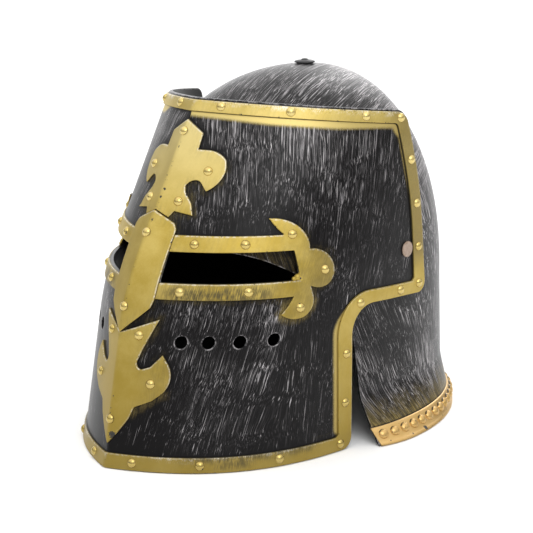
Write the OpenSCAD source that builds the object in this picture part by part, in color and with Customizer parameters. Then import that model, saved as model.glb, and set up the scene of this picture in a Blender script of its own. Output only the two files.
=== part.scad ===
// Knight's helmet with a keeled visor that swings on two side rivets.
// Origin on the ground under the middle of the helmet, front towards -Y, up +Z.

/* [Visor] */
// Width across the visor's flat flanks
visor_w = 216; // [210:1:224]
// Height of the visor along its keel
visor_h = 251; // [244:1:258]
// Depth of the curved part of the visor's level section
visor_depth = 172; // [166:1:178]
// Place along Y where the visor reaches its full width
widest_y = 6.5; // [3:0.5:10]
// Half of the angle that the front faces fall away from a flat front
keel_angle = 20; // [16:1:24]
// Lean of the keel below the sight slots, in degrees from upright
lean_low = 12; // [9:1:14]
// Lean of the keel above the sight slots, in degrees from upright
lean_high = 30; // [26:1:33]
// Height of the visor above the middle of the keel's bend
bend_drop = 130; // [125:1:139]
// Wall of the visor
visor_wall = 2.4; // [1.8:0.1:2.8]
// Fall of the visor's top edge towards the rear, in millimetres per 100
top_fall = 11.5; // [9:0.5:14]
// Rear edge behind the pivot
rear_reach = 21; // [18:1:24]
// Height of the edge under the rear flank
flank_z = 101; // [96:1:106]
// Distance of the upright cheek edge in front of the pivot
cheek_reach = 64; // [60:1:68]

/* [Skull] */
// Room between the skull and the visor at each side
side_room = 4; // [3.5:0.5:6]
// Distance from the skull's front to the keel at its foot
chin_room = 41.5; // [39.5:0.5:47]
// Length of the skull behind its widest place
skull_rear = 134; // [128:1:140]
// How far the crown stands above the visor's highest point
crown_rise = 13.5; // [11:0.5:17]
// Distance of the crown's top behind the skull's widest place
crown_back = 27; // [20:1:32]
// Squareness of the skull seen from above, where 2 is an ellipse
plan_power = 2.35; // [2.2:0.05:2.5]
// Height at which the dome begins
dome_z = 100; // [92:1:108]
// Roundness of the dome, where 2 is an ellipse and more is squarer
dome_power = 2.2; // [2.1:0.05:2.4]
// Place of the skull's widest section behind the origin
skull_y = 27.5; // [25:0.5:30]
// Growth of the skull from the dome down to the neck, on each side
skull_drift = 2; // [0:0.5:3]
// Wall of the skull
skull_wall = 2.4; // [1.8:0.1:2.8]
// Height of the flared neck
flare_h = 34; // [28:1:40]
// Reach of the flare at each side
flare_side = 24; // [20:1:28]
// Reach of the flare at the nape
flare_rear = 5; // [2:1:10]
// Height of the brow edge over the face opening
brow_z = 149; // [142:1:150]
// Distance of the brow edge's straight middle in front of the origin
brow_y = 81; // [76:1:86]

/* [Straps] */
// Thickness of the gilt straps
strap_t = 1.6; // [1.2:0.1:2.2]
// Width of the rim strap along the bottom
rim_w = 10.5; // [9:0.5:12]
// Distance of the rim strap's lower side from the visor's top edge
rim_top_w = 8.8; // [8:0.2:10]
// Bare edge of the visor above the rim strap
rim_lip = 1.4; // [0.8:0.1:2]
// Width of the rim strap down the rear and up the cheek
rim_side_w = 12.5; // [11:0.5:14]
// Width of the nose bar
nose_w = 38; // [34:1:42]
// Thickness of the nose bar
nose_t = 2.6; // [2.2:0.1:3.2]
// Clearance between one strap and the next
strap_gap = 0.3; // [0.2:0.05:0.5]

/* [Sight and breath] */
// Height of the sight slots
slot_h = 20.5; // [16:0.5:24]
// Height of the slots' middle above the ground
slot_z = 139.8; // [134:0.2:143]
// Rear end of the sight slots, in front of the pivot
slot_reach = 100; // [97:1:104]
// Width of the bars above and below a slot
frame_w = 10.8; // [9:0.2:12]
// Diameter of the breath holes
breath_d = 9; // [7:0.5:10]
// Height of the breath holes
breath_z = 90; // [84:1:92]

/* [Rivets] */
// Diameter of the rivet heads
rivet_d = 7; // [5.6:0.2:7.6]
// Height of the rivet heads
rivet_h = 2.2; // [1.6:0.1:2.6]
// Diameter of the rivet shanks
rivet_shank = 2.4; // [2:0.1:3]
// Diameter of the studs on the neck band
stud_d = 7.4; // [6:0.2:8.4]
// Number of studs on the neck band
stud_count = 44; // [36:2:44]
// Distance from one stud to the next along the band
stud_pitch = 11; // [10:0.1:11]
// Height of the neck band
band_h = 12; // [11:0.5:14]
// Thickness of the neck band
band_t = 1; // [0.8:0.1:1.6]

/* [Pivot] */
// Place of the pivot behind the origin
pivot_y = 42.2; // [40:0.2:45]
// Height of the pivot
pivot_z = 136; // [131:1:140]
// Diameter of the pivot rivets' shanks
pivot_d = 5; // [4:0.2:6]
// Diameter of the pivot rivets' heads
pivot_head = 12; // [10:0.5:14]
// Radial clearance of the visor on the shanks
running_gap = 0.05; // [0.03:0.01:0.09]
// Clearance between faces that lie on one another
seat_gap = 0.2; // [0.15:0.05:0.3]

/* [Lining] */
// Thickness of the brow pad
pad_t = 16; // [10:1:20]
// Height of the brow pad
pad_h = 34; // [26:1:40]
// Thickness of the crown pad
crown_pad_t = 12; // [8:1:16]
// Diameter of the crown boss
boss_d = 16; // [12:1:20]

/* [Hidden] */

BLACK = [0.13, 0.13, 0.14];
GILT = [0.80, 0.66, 0.30];
TAN = [0.72, 0.60, 0.50];
FOAM = [0.22, 0.22, 0.24];

// The visor is one keel line moved over one level section, so all its facets are flat
section_steps = 14;
keel_foot = visor_depth - widest_y;
skull_w = visor_w - 2 * side_room;
skull_front = keel_foot - chin_room;
skull_h = visor_h + crown_rise;
section_pull_front = 84;
section_pull_side = 0.5116 * visor_depth;
flank_len = 90;
bend_h = 60;
bend_steps = 4;
bend_z = visor_h - bend_drop;
bend_low = bend_z - bend_h / 2;
bend_high = bend_z + bend_h / 2;
visor_rows = concat([0], [for (i = [0:bend_steps]) bend_low + i * bend_h / bend_steps], [visor_h + 2]);
far = 260;

// Point and vector helpers
function unit(v) = v / norm(v);
function mix(a, b, t) = a + (b - a) * t;
function at(list, u) = let (i = floor(u)) mix(list[i], list[i + 1], u - i);
function mirrored(pts) = concat(pts, [for (i = [len(pts) - 1:-1:0]) if (pts[i].x > 0) [-pts[i].x, pts[i].y]]);

// Points of an arc through three points
function arc3(a, b, c, n = 6) =
    let (d = 2 * (a.x * (b.y - c.y) + b.x * (c.y - a.y) + c.x * (a.y - b.y)),
         ox = (a * a * (b.y - c.y) + b * b * (c.y - a.y) + c * c * (a.y - b.y)) / d,
         oy = (a * a * (c.x - b.x) + b * b * (a.x - c.x) + c * c * (b.x - a.x)) / d,
         o = [ox, oy],
         r = norm(a - o),
         s = atan2(a.y - oy, a.x - ox),
         m = turn(atan2(b.y - oy, b.x - ox) - s),
         e = turn(atan2(c.y - oy, c.x - ox) - s),
         sweep = m < e ? e : e - 360)
    [for (i = [0:n]) o + r * [cos(s + sweep * i / n), sin(s + sweep * i / n)]];
function turn(angle) = angle < 0 ? angle + 360 : angle;

// A polygon whose corners are rounded, each with its own radius
function rounded(pts, radii, n = 8) = [
    for (i = [0:len(pts) - 1])
        let (b = pts[i],
             u = unit(pts[(i + len(pts) - 1) % len(pts)] - b),
             v = unit(pts[(i + 1) % len(pts)] - b),
             half = acos(u * v) / 2,
             o = b + unit(u + v) * radii[i] / sin(half),
             p = b + u * radii[i] / tan(half),
             q = b + v * radii[i] / tan(half),
             m = o - unit(u + v) * radii[i])
        each radii[i] == 0 ? [b] : arc3(p, m, q, n)
];

module along_x(x0, x1) {
    translate([x0, 0, 0]) rotate([90, 0, 90]) linear_extrude(x1 - x0) children();
}
module along_y(y0, y1) {
    translate([0, y1, 0]) rotate([90, 0, 0]) linear_extrude(y1 - y0) children();
}
module sided(side) {
    mirror([side < 0 ? 1 : 0, 0, 0]) children();
}

// Level section of the right-hand half of the visor, from the keel to the rear
function bezier(a, b, c, d, t) =
    a * pow(1 - t, 3) + 3 * b * t * pow(1 - t, 2) + 3 * c * t * t * (1 - t) + d * pow(t, 3);
function section_point(i) =
    i > section_steps
        ? [visor_w / 2, visor_depth + flank_len]
        : bezier([0, 0], section_pull_front * [cos(keel_angle), sin(keel_angle)],
                 [visor_w / 2, visor_depth - section_pull_side], [visor_w / 2, visor_depth],
                 i / section_steps);
function section_heading(i) =
    i == 0 ? keel_angle
    : i >= section_steps ? 90
    : let (d = section_point(i + 1) - section_point(i - 1)) atan2(d.y, d.x);
function section_offset(i, d) =
    i == 0 ? [0, -d / cos(keel_angle)]
    : section_point(i) + d * [sin(section_heading(i)), -cos(section_heading(i))];

// Keel line, as the flat rows of the visor have it
function keel_curve(z) =
    let (low = tan(lean_low), high = tan(lean_high), w = max(0, min(z, bend_high) - bend_low))
    -keel_foot + low * z + (high - low) * (w * w / (2 * bend_h) + max(0, z - bend_high));
keel_table = [for (z = visor_rows) [z, keel_curve(z)]];
function keel_y(z) = lookup(z, keel_table);
function keel_slope(z) = (keel_y(z + 0.5) - keel_y(z - 0.5));

// Where the visor's surface lies, at an offset d outwards
function section_table(d) = [for (i = [0:section_steps + 1]) section_offset(i, d)];
function depth_table(d) = [for (p = section_table(d)) [p.y, p.x]];
function visor_y(x, z, d) = keel_y(z) + lookup(x, section_table(d));
function visor_x(y, z, d) = lookup(y - keel_y(z), depth_table(d));

function rows_near(z0, z1) = [
    for (i = [0:len(visor_rows) - 1])
        if (visor_rows[min(i + 1, len(visor_rows) - 1)] > z0 && visor_rows[max(i - 1, 0)] < z1) visor_rows[i]
];

// Closed skin between two offsets of the visor's surface, over one half or both
module visor_skin(d0, d1, z0, z1, last = section_steps + 1, both = false) {
    rows = rows_near(z0, z1);
    cols = [for (i = [both ? -last : 0:last]) i];
    nr = len(rows);
    nc = len(cols);
    points = [
        for (d = [d1, d0]) for (z = rows) for (i = cols)
            let (p = section_offset(abs(i), d)) [i < 0 ? -p.x : p.x, keel_y(z) + p.y, z]
    ];
    function out(r, c) = r * nc + c;
    function inn(r, c) = nr * nc + out(r, c);
    polyhedron(points, concat(
        [for (r = [0:nr - 2]) for (c = [0:nc - 2]) [out(r, c), out(r + 1, c), out(r + 1, c + 1), out(r, c + 1)]],
        [for (r = [0:nr - 2]) for (c = [0:nc - 2]) [inn(r, c), inn(r, c + 1), inn(r + 1, c + 1), inn(r + 1, c)]],
        [for (c = [0:nc - 2]) [out(0, c), out(0, c + 1), inn(0, c + 1), inn(0, c)]],
        [for (c = [0:nc - 2]) [out(nr - 1, c), inn(nr - 1, c), inn(nr - 1, c + 1), out(nr - 1, c + 1)]],
        [for (r = [0:nr - 2]) [inn(r, 0), inn(r + 1, 0), out(r + 1, 0), out(r, 0)]],
        [for (r = [0:nr - 2]) [out(r, nc - 1), out(r + 1, nc - 1), inn(r + 1, nc - 1), inn(r, nc - 1)]]
    ), convexity = 6);
}

// Side view of the visor's edge, moved in by the strap's widths
top_y = keel_y(visor_h);
rear_y = pivot_y + rear_reach;
cheek_y = pivot_y - cheek_reach;
rear_run = visor_h - flank_z;
waist_z = flank_z + 0.46 * rear_run;
function top_edge(y) = visor_h - (y - top_y) * top_fall / 100;
function visor_edge(w = 0, side_w = 0, top_w = 0) =
    rounded([
        [-far, top_edge(-far) - top_w],
        [rear_y - 18.5 - side_w * 0.68, top_edge(rear_y - 18.5) - top_w],
        [rear_y - 5 - side_w * 0.96, waist_z],
        [rear_y + 1 - side_w * 1.08, flank_z - 1 + w],
        [cheek_y + 3 - side_w, flank_z + 4 + w],
        [cheek_y - 1 - side_w, w],
        [-far, w],
    ], side_w == 0 ? [0, 10, 500, 8, 21, 9, 0] : [0, 3, 500, 3, 31, 3, 0]);
module visor_side() {
    polygon(visor_edge());
}

// Places a child on the visor with +Z along the outward normal
module on_surface(p, heading, slope) {
    n = [sin(heading), -cos(heading), slope * cos(heading)];
    translate(p) rotate([0, acos(n.z / norm(n)), atan2(n.y, n.x)]) children();
}
module on_front(x, z, d) {
    step = lookup(x + 1, section_table(d)) - lookup(x - 1, section_table(d));
    on_surface([x, visor_y(x, z, d), z], x == 0 ? 0 : atan2(step, 2), keel_slope(z)) children();
}
module on_flank(y, z, d) {
    step = visor_x(y + 1, z, d) - visor_x(y - 1, z, d);
    on_surface([visor_x(y, z, d), y, z], atan2(2, step), keel_slope(z)) children();
}

// A domed rivet standing on z = 0, and the hole that its shank passes through
module rivet(grip, d = rivet_d, h = rivet_h) {
    ball = (d * d / 4 + h * h) / (2 * h);
    translate([0, 0, seat_gap]) intersection() {
        translate([0, 0, h - ball]) sphere(ball, $fn = 32);
        cylinder(d = d + 1, h = h + 1, $fn = 32);
    }
    translate([0, 0, seat_gap - grip]) cylinder(d = rivet_shank, h = grip + 0.4, $fn = 24);
}
module rivet_hole(t) {
    translate([0, 0, -2 * t]) cylinder(d = rivet_shank + seat_gap, h = 3 * t, $fn = 24);
}
strap_grip = strap_t * cos(lean_high);
nose_grip = nose_t * cos(lean_high);

// Rim strap: rivets along the top and bottom by x, and down the flank by [y, z]
rim_top_x = [for (k = [0.1806, 0.5694, 0.8657]) k * visor_w / 2];
rim_low_x = [for (k = [0.1722, 0.5463, 0.8519]) k * visor_w / 2];
rim_top_mid = (rim_top_w + rim_lip) / 2;
function rim_top_z(x) = top_edge(visor_y(x, visor_h - rim_w, 0)) - rim_top_mid;
rear_middles = [
    [flank_z, rear_y + 1 - rim_side_w * 0.54],
    [waist_z, rear_y - 5 - rim_side_w * 0.48],
    [visor_h, rear_y - 20 - rim_side_w * 0.34],
];
function rear_mid(z) = lookup(z, rear_middles);
rim_rear = [for (k = [0.6733, 0.4533, 0.2333]) flank_z + k * rear_run];
rim_flank = [
    for (z = rim_rear) [rear_mid(z), z],
    [rear_y - 24, top_edge(rear_y - 24) - rim_top_mid - 0.6],
    [rear_y - 1 - rim_side_w / 2, flank_z + rim_w / 2 + 1.5],
    [rear_y - 30, flank_z + rim_w / 2 + 0.5],
    [cheek_y + 11, flank_z + rim_w / 2 - 0.5],
    [cheek_y + 2.5 - rim_side_w / 2, flank_z * 0.703],
    [cheek_y - rim_side_w / 2, flank_z * 0.3465],
    [cheek_y - 1 - rim_side_w + 1.5, rim_w / 2],
];
module rim_places() {
    for (x = rim_top_x) on_front(x, rim_top_z(x), strap_t) children();
    for (x = rim_low_x) on_front(x, rim_w / 2, strap_t) children();
    for (p = rim_flank) on_flank(p.x, p.y, strap_t) children();
}
module rim_strap(side) {
    color(GILT) sided(side) difference() {
        intersection() {
            visor_skin(0, strap_t, 0, visor_h + 2);
            along_x(strap_gap / 2, visor_w) difference() {
                polygon(visor_edge(0, 0, rim_lip));
                polygon(visor_edge(rim_w, rim_side_w, rim_top_w));
            }
        }
        rim_places() rivet_hole(strap_t);
    }
}
module rim_rivets(side) {
    color(GILT) sided(side) rim_places() rivet(strap_grip);
}

// Nose bar over the keel, with a chevron at each end
slot_top = slot_z + slot_h / 2;
slot_low = slot_z - slot_h / 2;
frame_top = slot_top + frame_w;
frame_low = slot_low - frame_w;
nose_x = nose_w / 2;
nose_top = frame_top + 15.5;
nose_foot = frame_low - 23.5;
nose_edge = [
    [0, nose_top], [nose_x - 2.5, nose_top - 8], [nose_x, nose_top - 12],
    [nose_x, frame_low - 0.5], [nose_x - 1.5, frame_low - 6], [0, nose_foot],
];
nose_rivet_z = [frame_top + 1, frame_low - 6];
module nose_bar() {
    color(GILT) difference() {
        intersection() {
            visor_skin(0, nose_t, nose_foot, nose_top, 4, true);
            along_y(-far, 0) polygon(mirrored(nose_edge));
        }
        for (z = nose_rivet_z) on_front(0, z, nose_t) rivet_hole(nose_t * 1.2);
    }
}
module nose_bar_rivets() {
    color(GILT) for (z = nose_rivet_z) on_front(0, z, nose_t) rivet(nose_grip);
}

// Sight frames: two bars that end in a cross of three lobes, drawn in side view
slot_end = pivot_y - slot_reach;
module sight_slot() {
    translate([nose_x + strap_gap, -far, slot_low]) cube([visor_w, slot_end + far, slot_h]);
}
function cross_end() =
    let (y = slot_end)
    concat(
        [[-far, frame_low]],
        arc3([y - 6.5, frame_low], [y - 11, slot_low - 17], [y - 16.5, slot_low - 22.5], 3),
        arc3([y - 16, slot_low - 23], [y + 1, slot_low - 24.5], [y + 7.5, slot_low - 12], 7),
        [[y + 6.5, slot_low - 5]],
        arc3([y + 7, slot_low - 5], [y + 20, slot_low - 5], [y + 26, slot_low + 6], 5),
        arc3([y + 26, slot_low + 7], [y + 22, slot_top - 4.5], [y + 12, slot_top], 5),
        arc3([y + 10.5, slot_top], [y + 5, slot_top + 17.5], [y - 8.5, slot_top + 22], 7),
        arc3([y - 8.2, slot_top + 21.5], [y - 6.5, slot_top + 16], [y - 3.5, frame_top + 0.5], 3),
        [[y - 4, frame_top], [-far, frame_top]]
    );
frame_front_x = [[33.6, 1], [62, 1], [33.6, -1], [70.5, -1]];
frame_flank = [[slot_end + 1.5, slot_top + 11], [slot_end + 18.5, slot_z - 5], [slot_end - 3, slot_low - 19]];
module frame_places() {
    for (p = frame_front_x) on_front(p.x, slot_z + p.y * (slot_h + frame_w) / 2, strap_t) children();
    for (p = frame_flank) on_flank(p.x, p.y, strap_t) children();
}
module sight_frame(side) {
    color(GILT) sided(side) difference() {
        intersection() {
            visor_skin(0, strap_t, slot_low - 26, slot_top + 24);
            along_x(nose_x + strap_gap, visor_w) difference() {
                polygon(cross_end());
                translate([-far, slot_low]) square([slot_end + far, slot_h]);
            }
        }
        frame_places() rivet_hole(strap_t);
    }
}
module sight_frame_rivets(side) {
    color(GILT) sided(side) frame_places() rivet(strap_grip);
}

// Half fleurs in front view, over the keel above and below the nose bar
upper_foot = nose_top + strap_gap;
upper_h = top_edge(top_y) - rim_w - 4 - upper_foot;
upper_edge = concat(
    [[0, 1], [14, 0.85], [14.5, 0.67]],
    [for (p = arc3([20, 40], [28, 38.5], [35, 33.5], 3)) [p.x, p.y / 60]],
    [for (p = arc3([36.5, 29], [36, 21], [29, 13], 4)) [p.x, p.y / 60]],
    [for (p = arc3([24.5, 18], [19, 20], [14.5, 16], 5)) [p.x, p.y / 60]],
    [[16, 0.2], [22.5, 0.08], [26, -0.05], [13, -0.01], [10.5, -0.08], [0, 0]]
);
lower_top = nose_foot - strap_gap;
lower_h = lower_top - 17;
lower_edge = concat(
    [[0, 1], [25, 1.13], [16.5, 0.86]],
    [for (p = arc3([14.5, 60], [14.5, 54.5], [17, 52.5], 3)) [p.x, p.y / 77]],
    [[23, 0.71], [30, 0.82]],
    [for (p = arc3([34, 57], [36.5, 46], [32, 36.5], 4)) [p.x, p.y / 77]],
    [[26.5, 0.41], [15.5, 0.345], [12.5, 0.235], [6, 0.1], [0, 0]]
);
function fleur_outline(edge, foot, h) = mirrored([for (p = edge) [p.x, foot + p.y * h]]);
upper_rivets = [[0, 0.87], [26, 0.44], [13.5, 0.1]];
lower_rivets = [[0, 0.22], [13, 0.985], [24.5, 0.56]];
module fleur(edge, foot, h, rivets) {
    color(GILT) difference() {
        intersection() {
            visor_skin(0, strap_t, foot - 6, foot + h + 11, 5, true);
            along_y(-far, 0) polygon(fleur_outline(edge, foot, h));
        }
        fleur_places(rivets, foot, h) rivet_hole(strap_t * 1.1);
    }
}
module fleur_places(rivets, foot, h) {
    for (p = rivets) for (side = p.x > 0 ? [1, -1] : [1])
        sided(side) on_front(p.x, foot + p.y * h, strap_t) children();
}
module upper_fleur() {
    fleur(upper_edge, upper_foot, upper_h, upper_rivets);
}
module upper_fleur_rivets() {
    color(GILT) fleur_places(upper_rivets, upper_foot, upper_h) rivet(strap_grip);
}
module lower_fleur() {
    fleur(lower_edge, lower_top - lower_h, lower_h, lower_rivets);
}
module lower_fleur_rivets() {
    color(GILT) fleur_places(lower_rivets, lower_top - lower_h, lower_h) rivet(strap_grip);
}

// Visor shell with its slots, breath holes and pivot bores
breath_x = [40, 55.5, 71, 85];
module visor_shell() {
    color(BLACK) difference() {
        intersection() {
            visor_skin(-visor_wall, 0, 0, visor_h + 2, both = true);
            along_x(-visor_w, visor_w) visor_side();
        }
        for (side = [-1, 1]) sided(side) {
            sight_slot();
            for (x = breath_x) on_front(x, breath_z, 0)
                translate([0, 0, -3 * visor_wall]) cylinder(d = breath_d, h = 5 * visor_wall, $fn = 32);
        }
        pivot_line() cylinder(d = pivot_d + 2 * running_gap, h = 2 * visor_w, center = true, $fn = 48);
    }
}

// The pivot's axis, with the child's +Z along +X
module pivot_line() {
    translate([0, pivot_y, pivot_z]) rotate([0, 90, 0]) children();
}

// Skull: level rounded sections that shrink up the dome and flare at the neck
ring_steps = 48;
skull_rows = [
    0, band_h / 2, band_h, mix(band_h, flare_h, 0.25), mix(band_h, flare_h, 0.5),
    mix(band_h, flare_h, 0.75), flare_h, dome_z, pivot_z - 10, pivot_z + 16,
    pivot_z + 16 + pad_h / 2, pivot_z + 16 + pad_h,
    for (k = [0.22, 0.44, 0.62, 0.76, 0.87, 0.94, 0.98]) mix(pivot_z + 16 + pad_h, skull_h, k),
];
function flare(z) = z >= flare_h ? 0 : pow(1 - z / flare_h, 1.3);
function shrink(z) =
    z <= dome_z ? 1 : pow(1 - pow((z - dome_z) / (skull_h - dome_z), dome_power), 1 / dome_power);
function signed_power(v, e) = sign(v) * pow(abs(v), e);
function skull_point(z, k, d) =
    let (s = shrink(z), f = flare(z), a = 360 * k / ring_steps,
         e = 2 / (plan_power - (plan_power - 2) * f),
         up = z <= dome_z ? 0 : d * (z - dome_z) / (skull_h - dome_z),
         g = skull_drift * max(0, 1 - z / dome_z) + d,
         length = sin(a) > 0 ? skull_rear + f * flare_rear : skull_front - 26 * f)
    [signed_power(cos(a), e) * (skull_w / 2 + flare_side * f + g) * s,
     skull_y - 4 * f + crown_back * (1 - s) + signed_power(sin(a), e) * (length + g) * s, z + up];
crown_y = skull_y + crown_back;

// Closed skin between two offsets of the skull's surface, open or closed at the crown
module skull_skin(d0, d1, rows, crown = false) {
    nr = len(rows);
    points = concat(
        [for (d = [d1, d0]) for (z = rows) for (k = [0:ring_steps - 1]) skull_point(z, k, d)],
        [for (d = [d1, d0]) [0, crown_y, skull_h + d]]
    );
    function out(r, k) = r * ring_steps + k % ring_steps;
    function inn(r, k) = nr * ring_steps + out(r, k);
    top = 2 * nr * ring_steps;
    ks = [0:ring_steps - 1];
    polyhedron(points, concat(
        [for (r = [0:nr - 2]) for (k = ks) each [
            [out(r, k), out(r + 1, k), out(r + 1, k + 1)], [out(r, k), out(r + 1, k + 1), out(r, k + 1)],
            [inn(r, k), inn(r + 1, k + 1), inn(r + 1, k)], [inn(r, k), inn(r, k + 1), inn(r + 1, k + 1)]]],
        [for (k = ks) each [
            [out(0, k), out(0, k + 1), inn(0, k + 1)], [out(0, k), inn(0, k + 1), inn(0, k)]]],
        [for (k = ks) each crown
            ? [[out(nr - 1, k), top, out(nr - 1, k + 1)], [inn(nr - 1, k), inn(nr - 1, k + 1), top + 1]]
            : [[out(nr - 1, k), inn(nr - 1, k + 1), out(nr - 1, k + 1)],
               [out(nr - 1, k), inn(nr - 1, k), inn(nr - 1, k + 1)]]]
    ), convexity = 6);
}

// Solid slice of the skull at the pivots, at an offset d outwards
module skull_slice(d) {
    rows = [pivot_z - 10, pivot_z + 16];
    points = [for (z = rows) for (k = [0:ring_steps - 1]) skull_point(z, k, d)];
    n = ring_steps;
    polyhedron(points, concat(
        [for (k = [0:n - 1]) each [[k, n + k, n + (k + 1) % n], [k, n + (k + 1) % n, (k + 1) % n]]],
        [[for (k = [0:n - 1]) k], [for (k = [n - 1:-1:0]) n + k]]
    ));
}

// Side view of the face opening, moved back by w
module face_opening(w = 0) {
    polygon(rounded([
        [-far, brow_z], [-brow_y, brow_z], [cheek_y + 6 + w, flank_z + 6], [cheek_y + 16 + w, 32],
        [cheek_y + 13 + w, -1], [-far, -1],
    ], [0, 60, 15, 60, 0, 0]));
}
module skull_shell() {
    color(BLACK) difference() {
        skull_skin(-skull_wall, 0, skull_rows, true);
        along_x(-visor_w, visor_w) face_opening();
        pivot_line() cylinder(d = pivot_d + 0.04, h = 2 * visor_w, center = true, $fn = 48);
        translate([0, crown_y, skull_h - 12]) cylinder(d = boss_d / 4 + seat_gap, h = 30, $fn = 24);
    }
}
module neck_band() {
    color(GILT) difference() {
        skull_skin(0, band_t, [0, band_h / 2, band_h]);
        along_x(-visor_w, visor_w) face_opening(1);
    }
}

// Studs at even steps along the band, counted from its middle at the nape
band_first = -4;
band_last = 28;
function band_ring(z) =
    [for (k = [band_first:band_last]) skull_point(z, k + (k < 0 ? ring_steps : 0), band_t)];
band_low_ring = band_ring(band_h / 2);
band_high_ring = band_ring(band_h);
stud_level = 0.3;
stud_ring = [for (i = [0:len(band_low_ring) - 1]) mix(band_low_ring[i], band_high_ring[i], stud_level)];
function run_length(i) = i == 0 ? 0 : run_length(i - 1) + norm(stud_ring[i] - stud_ring[i - 1]);
stud_runs = [for (i = [0:len(stud_ring) - 1]) [run_length(i), i]];
stud_middle = run_length(len(stud_ring) - 1) / 2;
module neck_band_studs() {
    color(GILT) for (j = [0:stud_count - 1]) {
        u = lookup(stud_middle + (j - (stud_count - 1) / 2) * stud_pitch, stud_runs);
        n = cross(at(stud_ring, u + 0.1) - at(stud_ring, u - 0.1), at(band_high_ring, u) - at(band_low_ring, u));
        translate(at(stud_ring, u)) rotate([0, acos(n.z / norm(n)), atan2(n.y, n.x)])
            stud();
    }
}
module stud() {
    ball = (stud_d * stud_d / 4 + rivet_h * rivet_h) / (2 * rivet_h);
    translate([0, 0, seat_gap]) intersection() {
        translate([0, 0, rivet_h - ball]) sphere(ball, $fn = 32);
        cylinder(d = stud_d + 1, h = rivet_h + 1, $fn = 32);
    }
}

// Crown boss: a low disc on small feet, with a knob and a stud through the crown
boss_lift = 1.4;
boss_t = 1.2;
module crown_boss() {
    color(BLACK) translate([0, crown_y, skull_h + seat_gap]) {
        translate([0, 0, boss_lift]) cylinder(d = boss_d, h = boss_t, $fn = 48);
        translate([0, 0, boss_lift]) cylinder(d1 = boss_d * 0.6, d2 = boss_d * 0.3, h = boss_t + 1.2, $fn = 48);
        for (a = [30:60:330]) rotate([0, 0, a]) translate([boss_d / 2 - 2.2, -1, 0])
            cube([2, 2, boss_lift + 0.4]);
        translate([0, 0, -skull_wall - 3]) cylinder(d = boss_d / 4, h = skull_wall + 3 + boss_lift + 0.4, $fn = 24);
    }
}

// Lining of soft foam inside the skull
pad_gap = skull_wall + 0.3;
module brow_pad() {
    color(FOAM) skull_skin(-pad_gap - pad_t, -pad_gap, [for (i = [9:11]) skull_rows[i]]);
}
module crown_pad() {
    color(FOAM) difference() {
        skull_skin(-pad_gap - crown_pad_t, -pad_gap, [for (i = [14:18]) skull_rows[i]], true);
        translate([0, crown_y, skull_h - 40]) cylinder(d = boss_d / 4 + 4, h = 60, $fn = 24);
    }
}

// Pivot hardware, drawn on the left side of the wearer
flank_out = visor_w / 2;
flank_in = flank_out - visor_wall;
skull_off = (pivot_y - skull_y - crown_back * (1 - shrink(pivot_z))) / skull_rear;
skull_out = skull_point(pivot_z, 0, 0).x * pow(1 - pow(abs(skull_off), plan_power), 1 / plan_power);
skull_in = skull_out - skull_wall;
burr_d = pivot_head;
burr_t = 1.5;
clinch_t = 1.2;
spacer_d = 14;
spacer_gap = 2 * seat_gap;
module pivot_rivet(side) {
    foot = skull_in - burr_t - seat_gap - 0.6;
    color(TAN) sided(side) pivot_line() {
        translate([0, 0, flank_out + seat_gap]) cylinder(d = pivot_head, h = 1.2, $fn = 48);
        translate([0, 0, foot - clinch_t]) cylinder(d = pivot_d, h = flank_out + seat_gap + 0.6 - foot + clinch_t,
                                                    $fn = 48);
        translate([0, 0, foot - clinch_t]) cylinder(d = pivot_d * 1.7, h = clinch_t, $fn = 48);
    }
}
module pivot_spacer(side) {
    color(BLACK) sided(side) difference() {
        pivot_line() translate([0, 0, skull_in]) cylinder(d = spacer_d, h = flank_in - spacer_gap - skull_in,
                                                         $fn = 48);
        skull_slice(seat_gap);
        pivot_line() cylinder(d = pivot_d + 0.04, h = visor_w, $fn = 48);
    }
}
module pivot_burr(side) {
    color(TAN) sided(side) difference() {
        intersection() {
            pivot_line() translate([0, 0, skull_in - burr_t - 0.4]) cylinder(d = burr_d, h = 8, $fn = 48);
            skull_slice(-skull_wall - seat_gap);
        }
        pivot_line() cylinder(d = pivot_d + 0.04, h = visor_w, $fn = 48);
    }
}

skull_shell();
neck_band();
neck_band_studs();
crown_boss();
brow_pad();
crown_pad();
pivot_rivet(1);  // pivot_rivet_left
pivot_rivet(-1);  // pivot_rivet_right
pivot_spacer(1);  // pivot_spacer_left
pivot_spacer(-1);  // pivot_spacer_right
pivot_burr(1);  // pivot_burr_left
pivot_burr(-1);  // pivot_burr_right
visor_shell();
rim_strap(1);  // rim_strap_left
rim_strap(-1);  // rim_strap_right
rim_rivets(1);  // rim_rivets_left
rim_rivets(-1);  // rim_rivets_right
nose_bar();
nose_bar_rivets();
sight_frame(1);  // sight_frame_left
sight_frame(-1);  // sight_frame_right
sight_frame_rivets(1);  // sight_frame_rivets_left
sight_frame_rivets(-1);  // sight_frame_rivets_right
upper_fleur();
upper_fleur_rivets();
lower_fleur();
lower_fleur_rivets();
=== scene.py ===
# Looks of the knight's helmet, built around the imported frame. Lengths are in mm until a mesh is made.
import math

import bpy
import numpy as np
from mathutils import Matrix, Vector, kdtree
from mathutils.geometry import delaunay_2d_cdt


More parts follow.
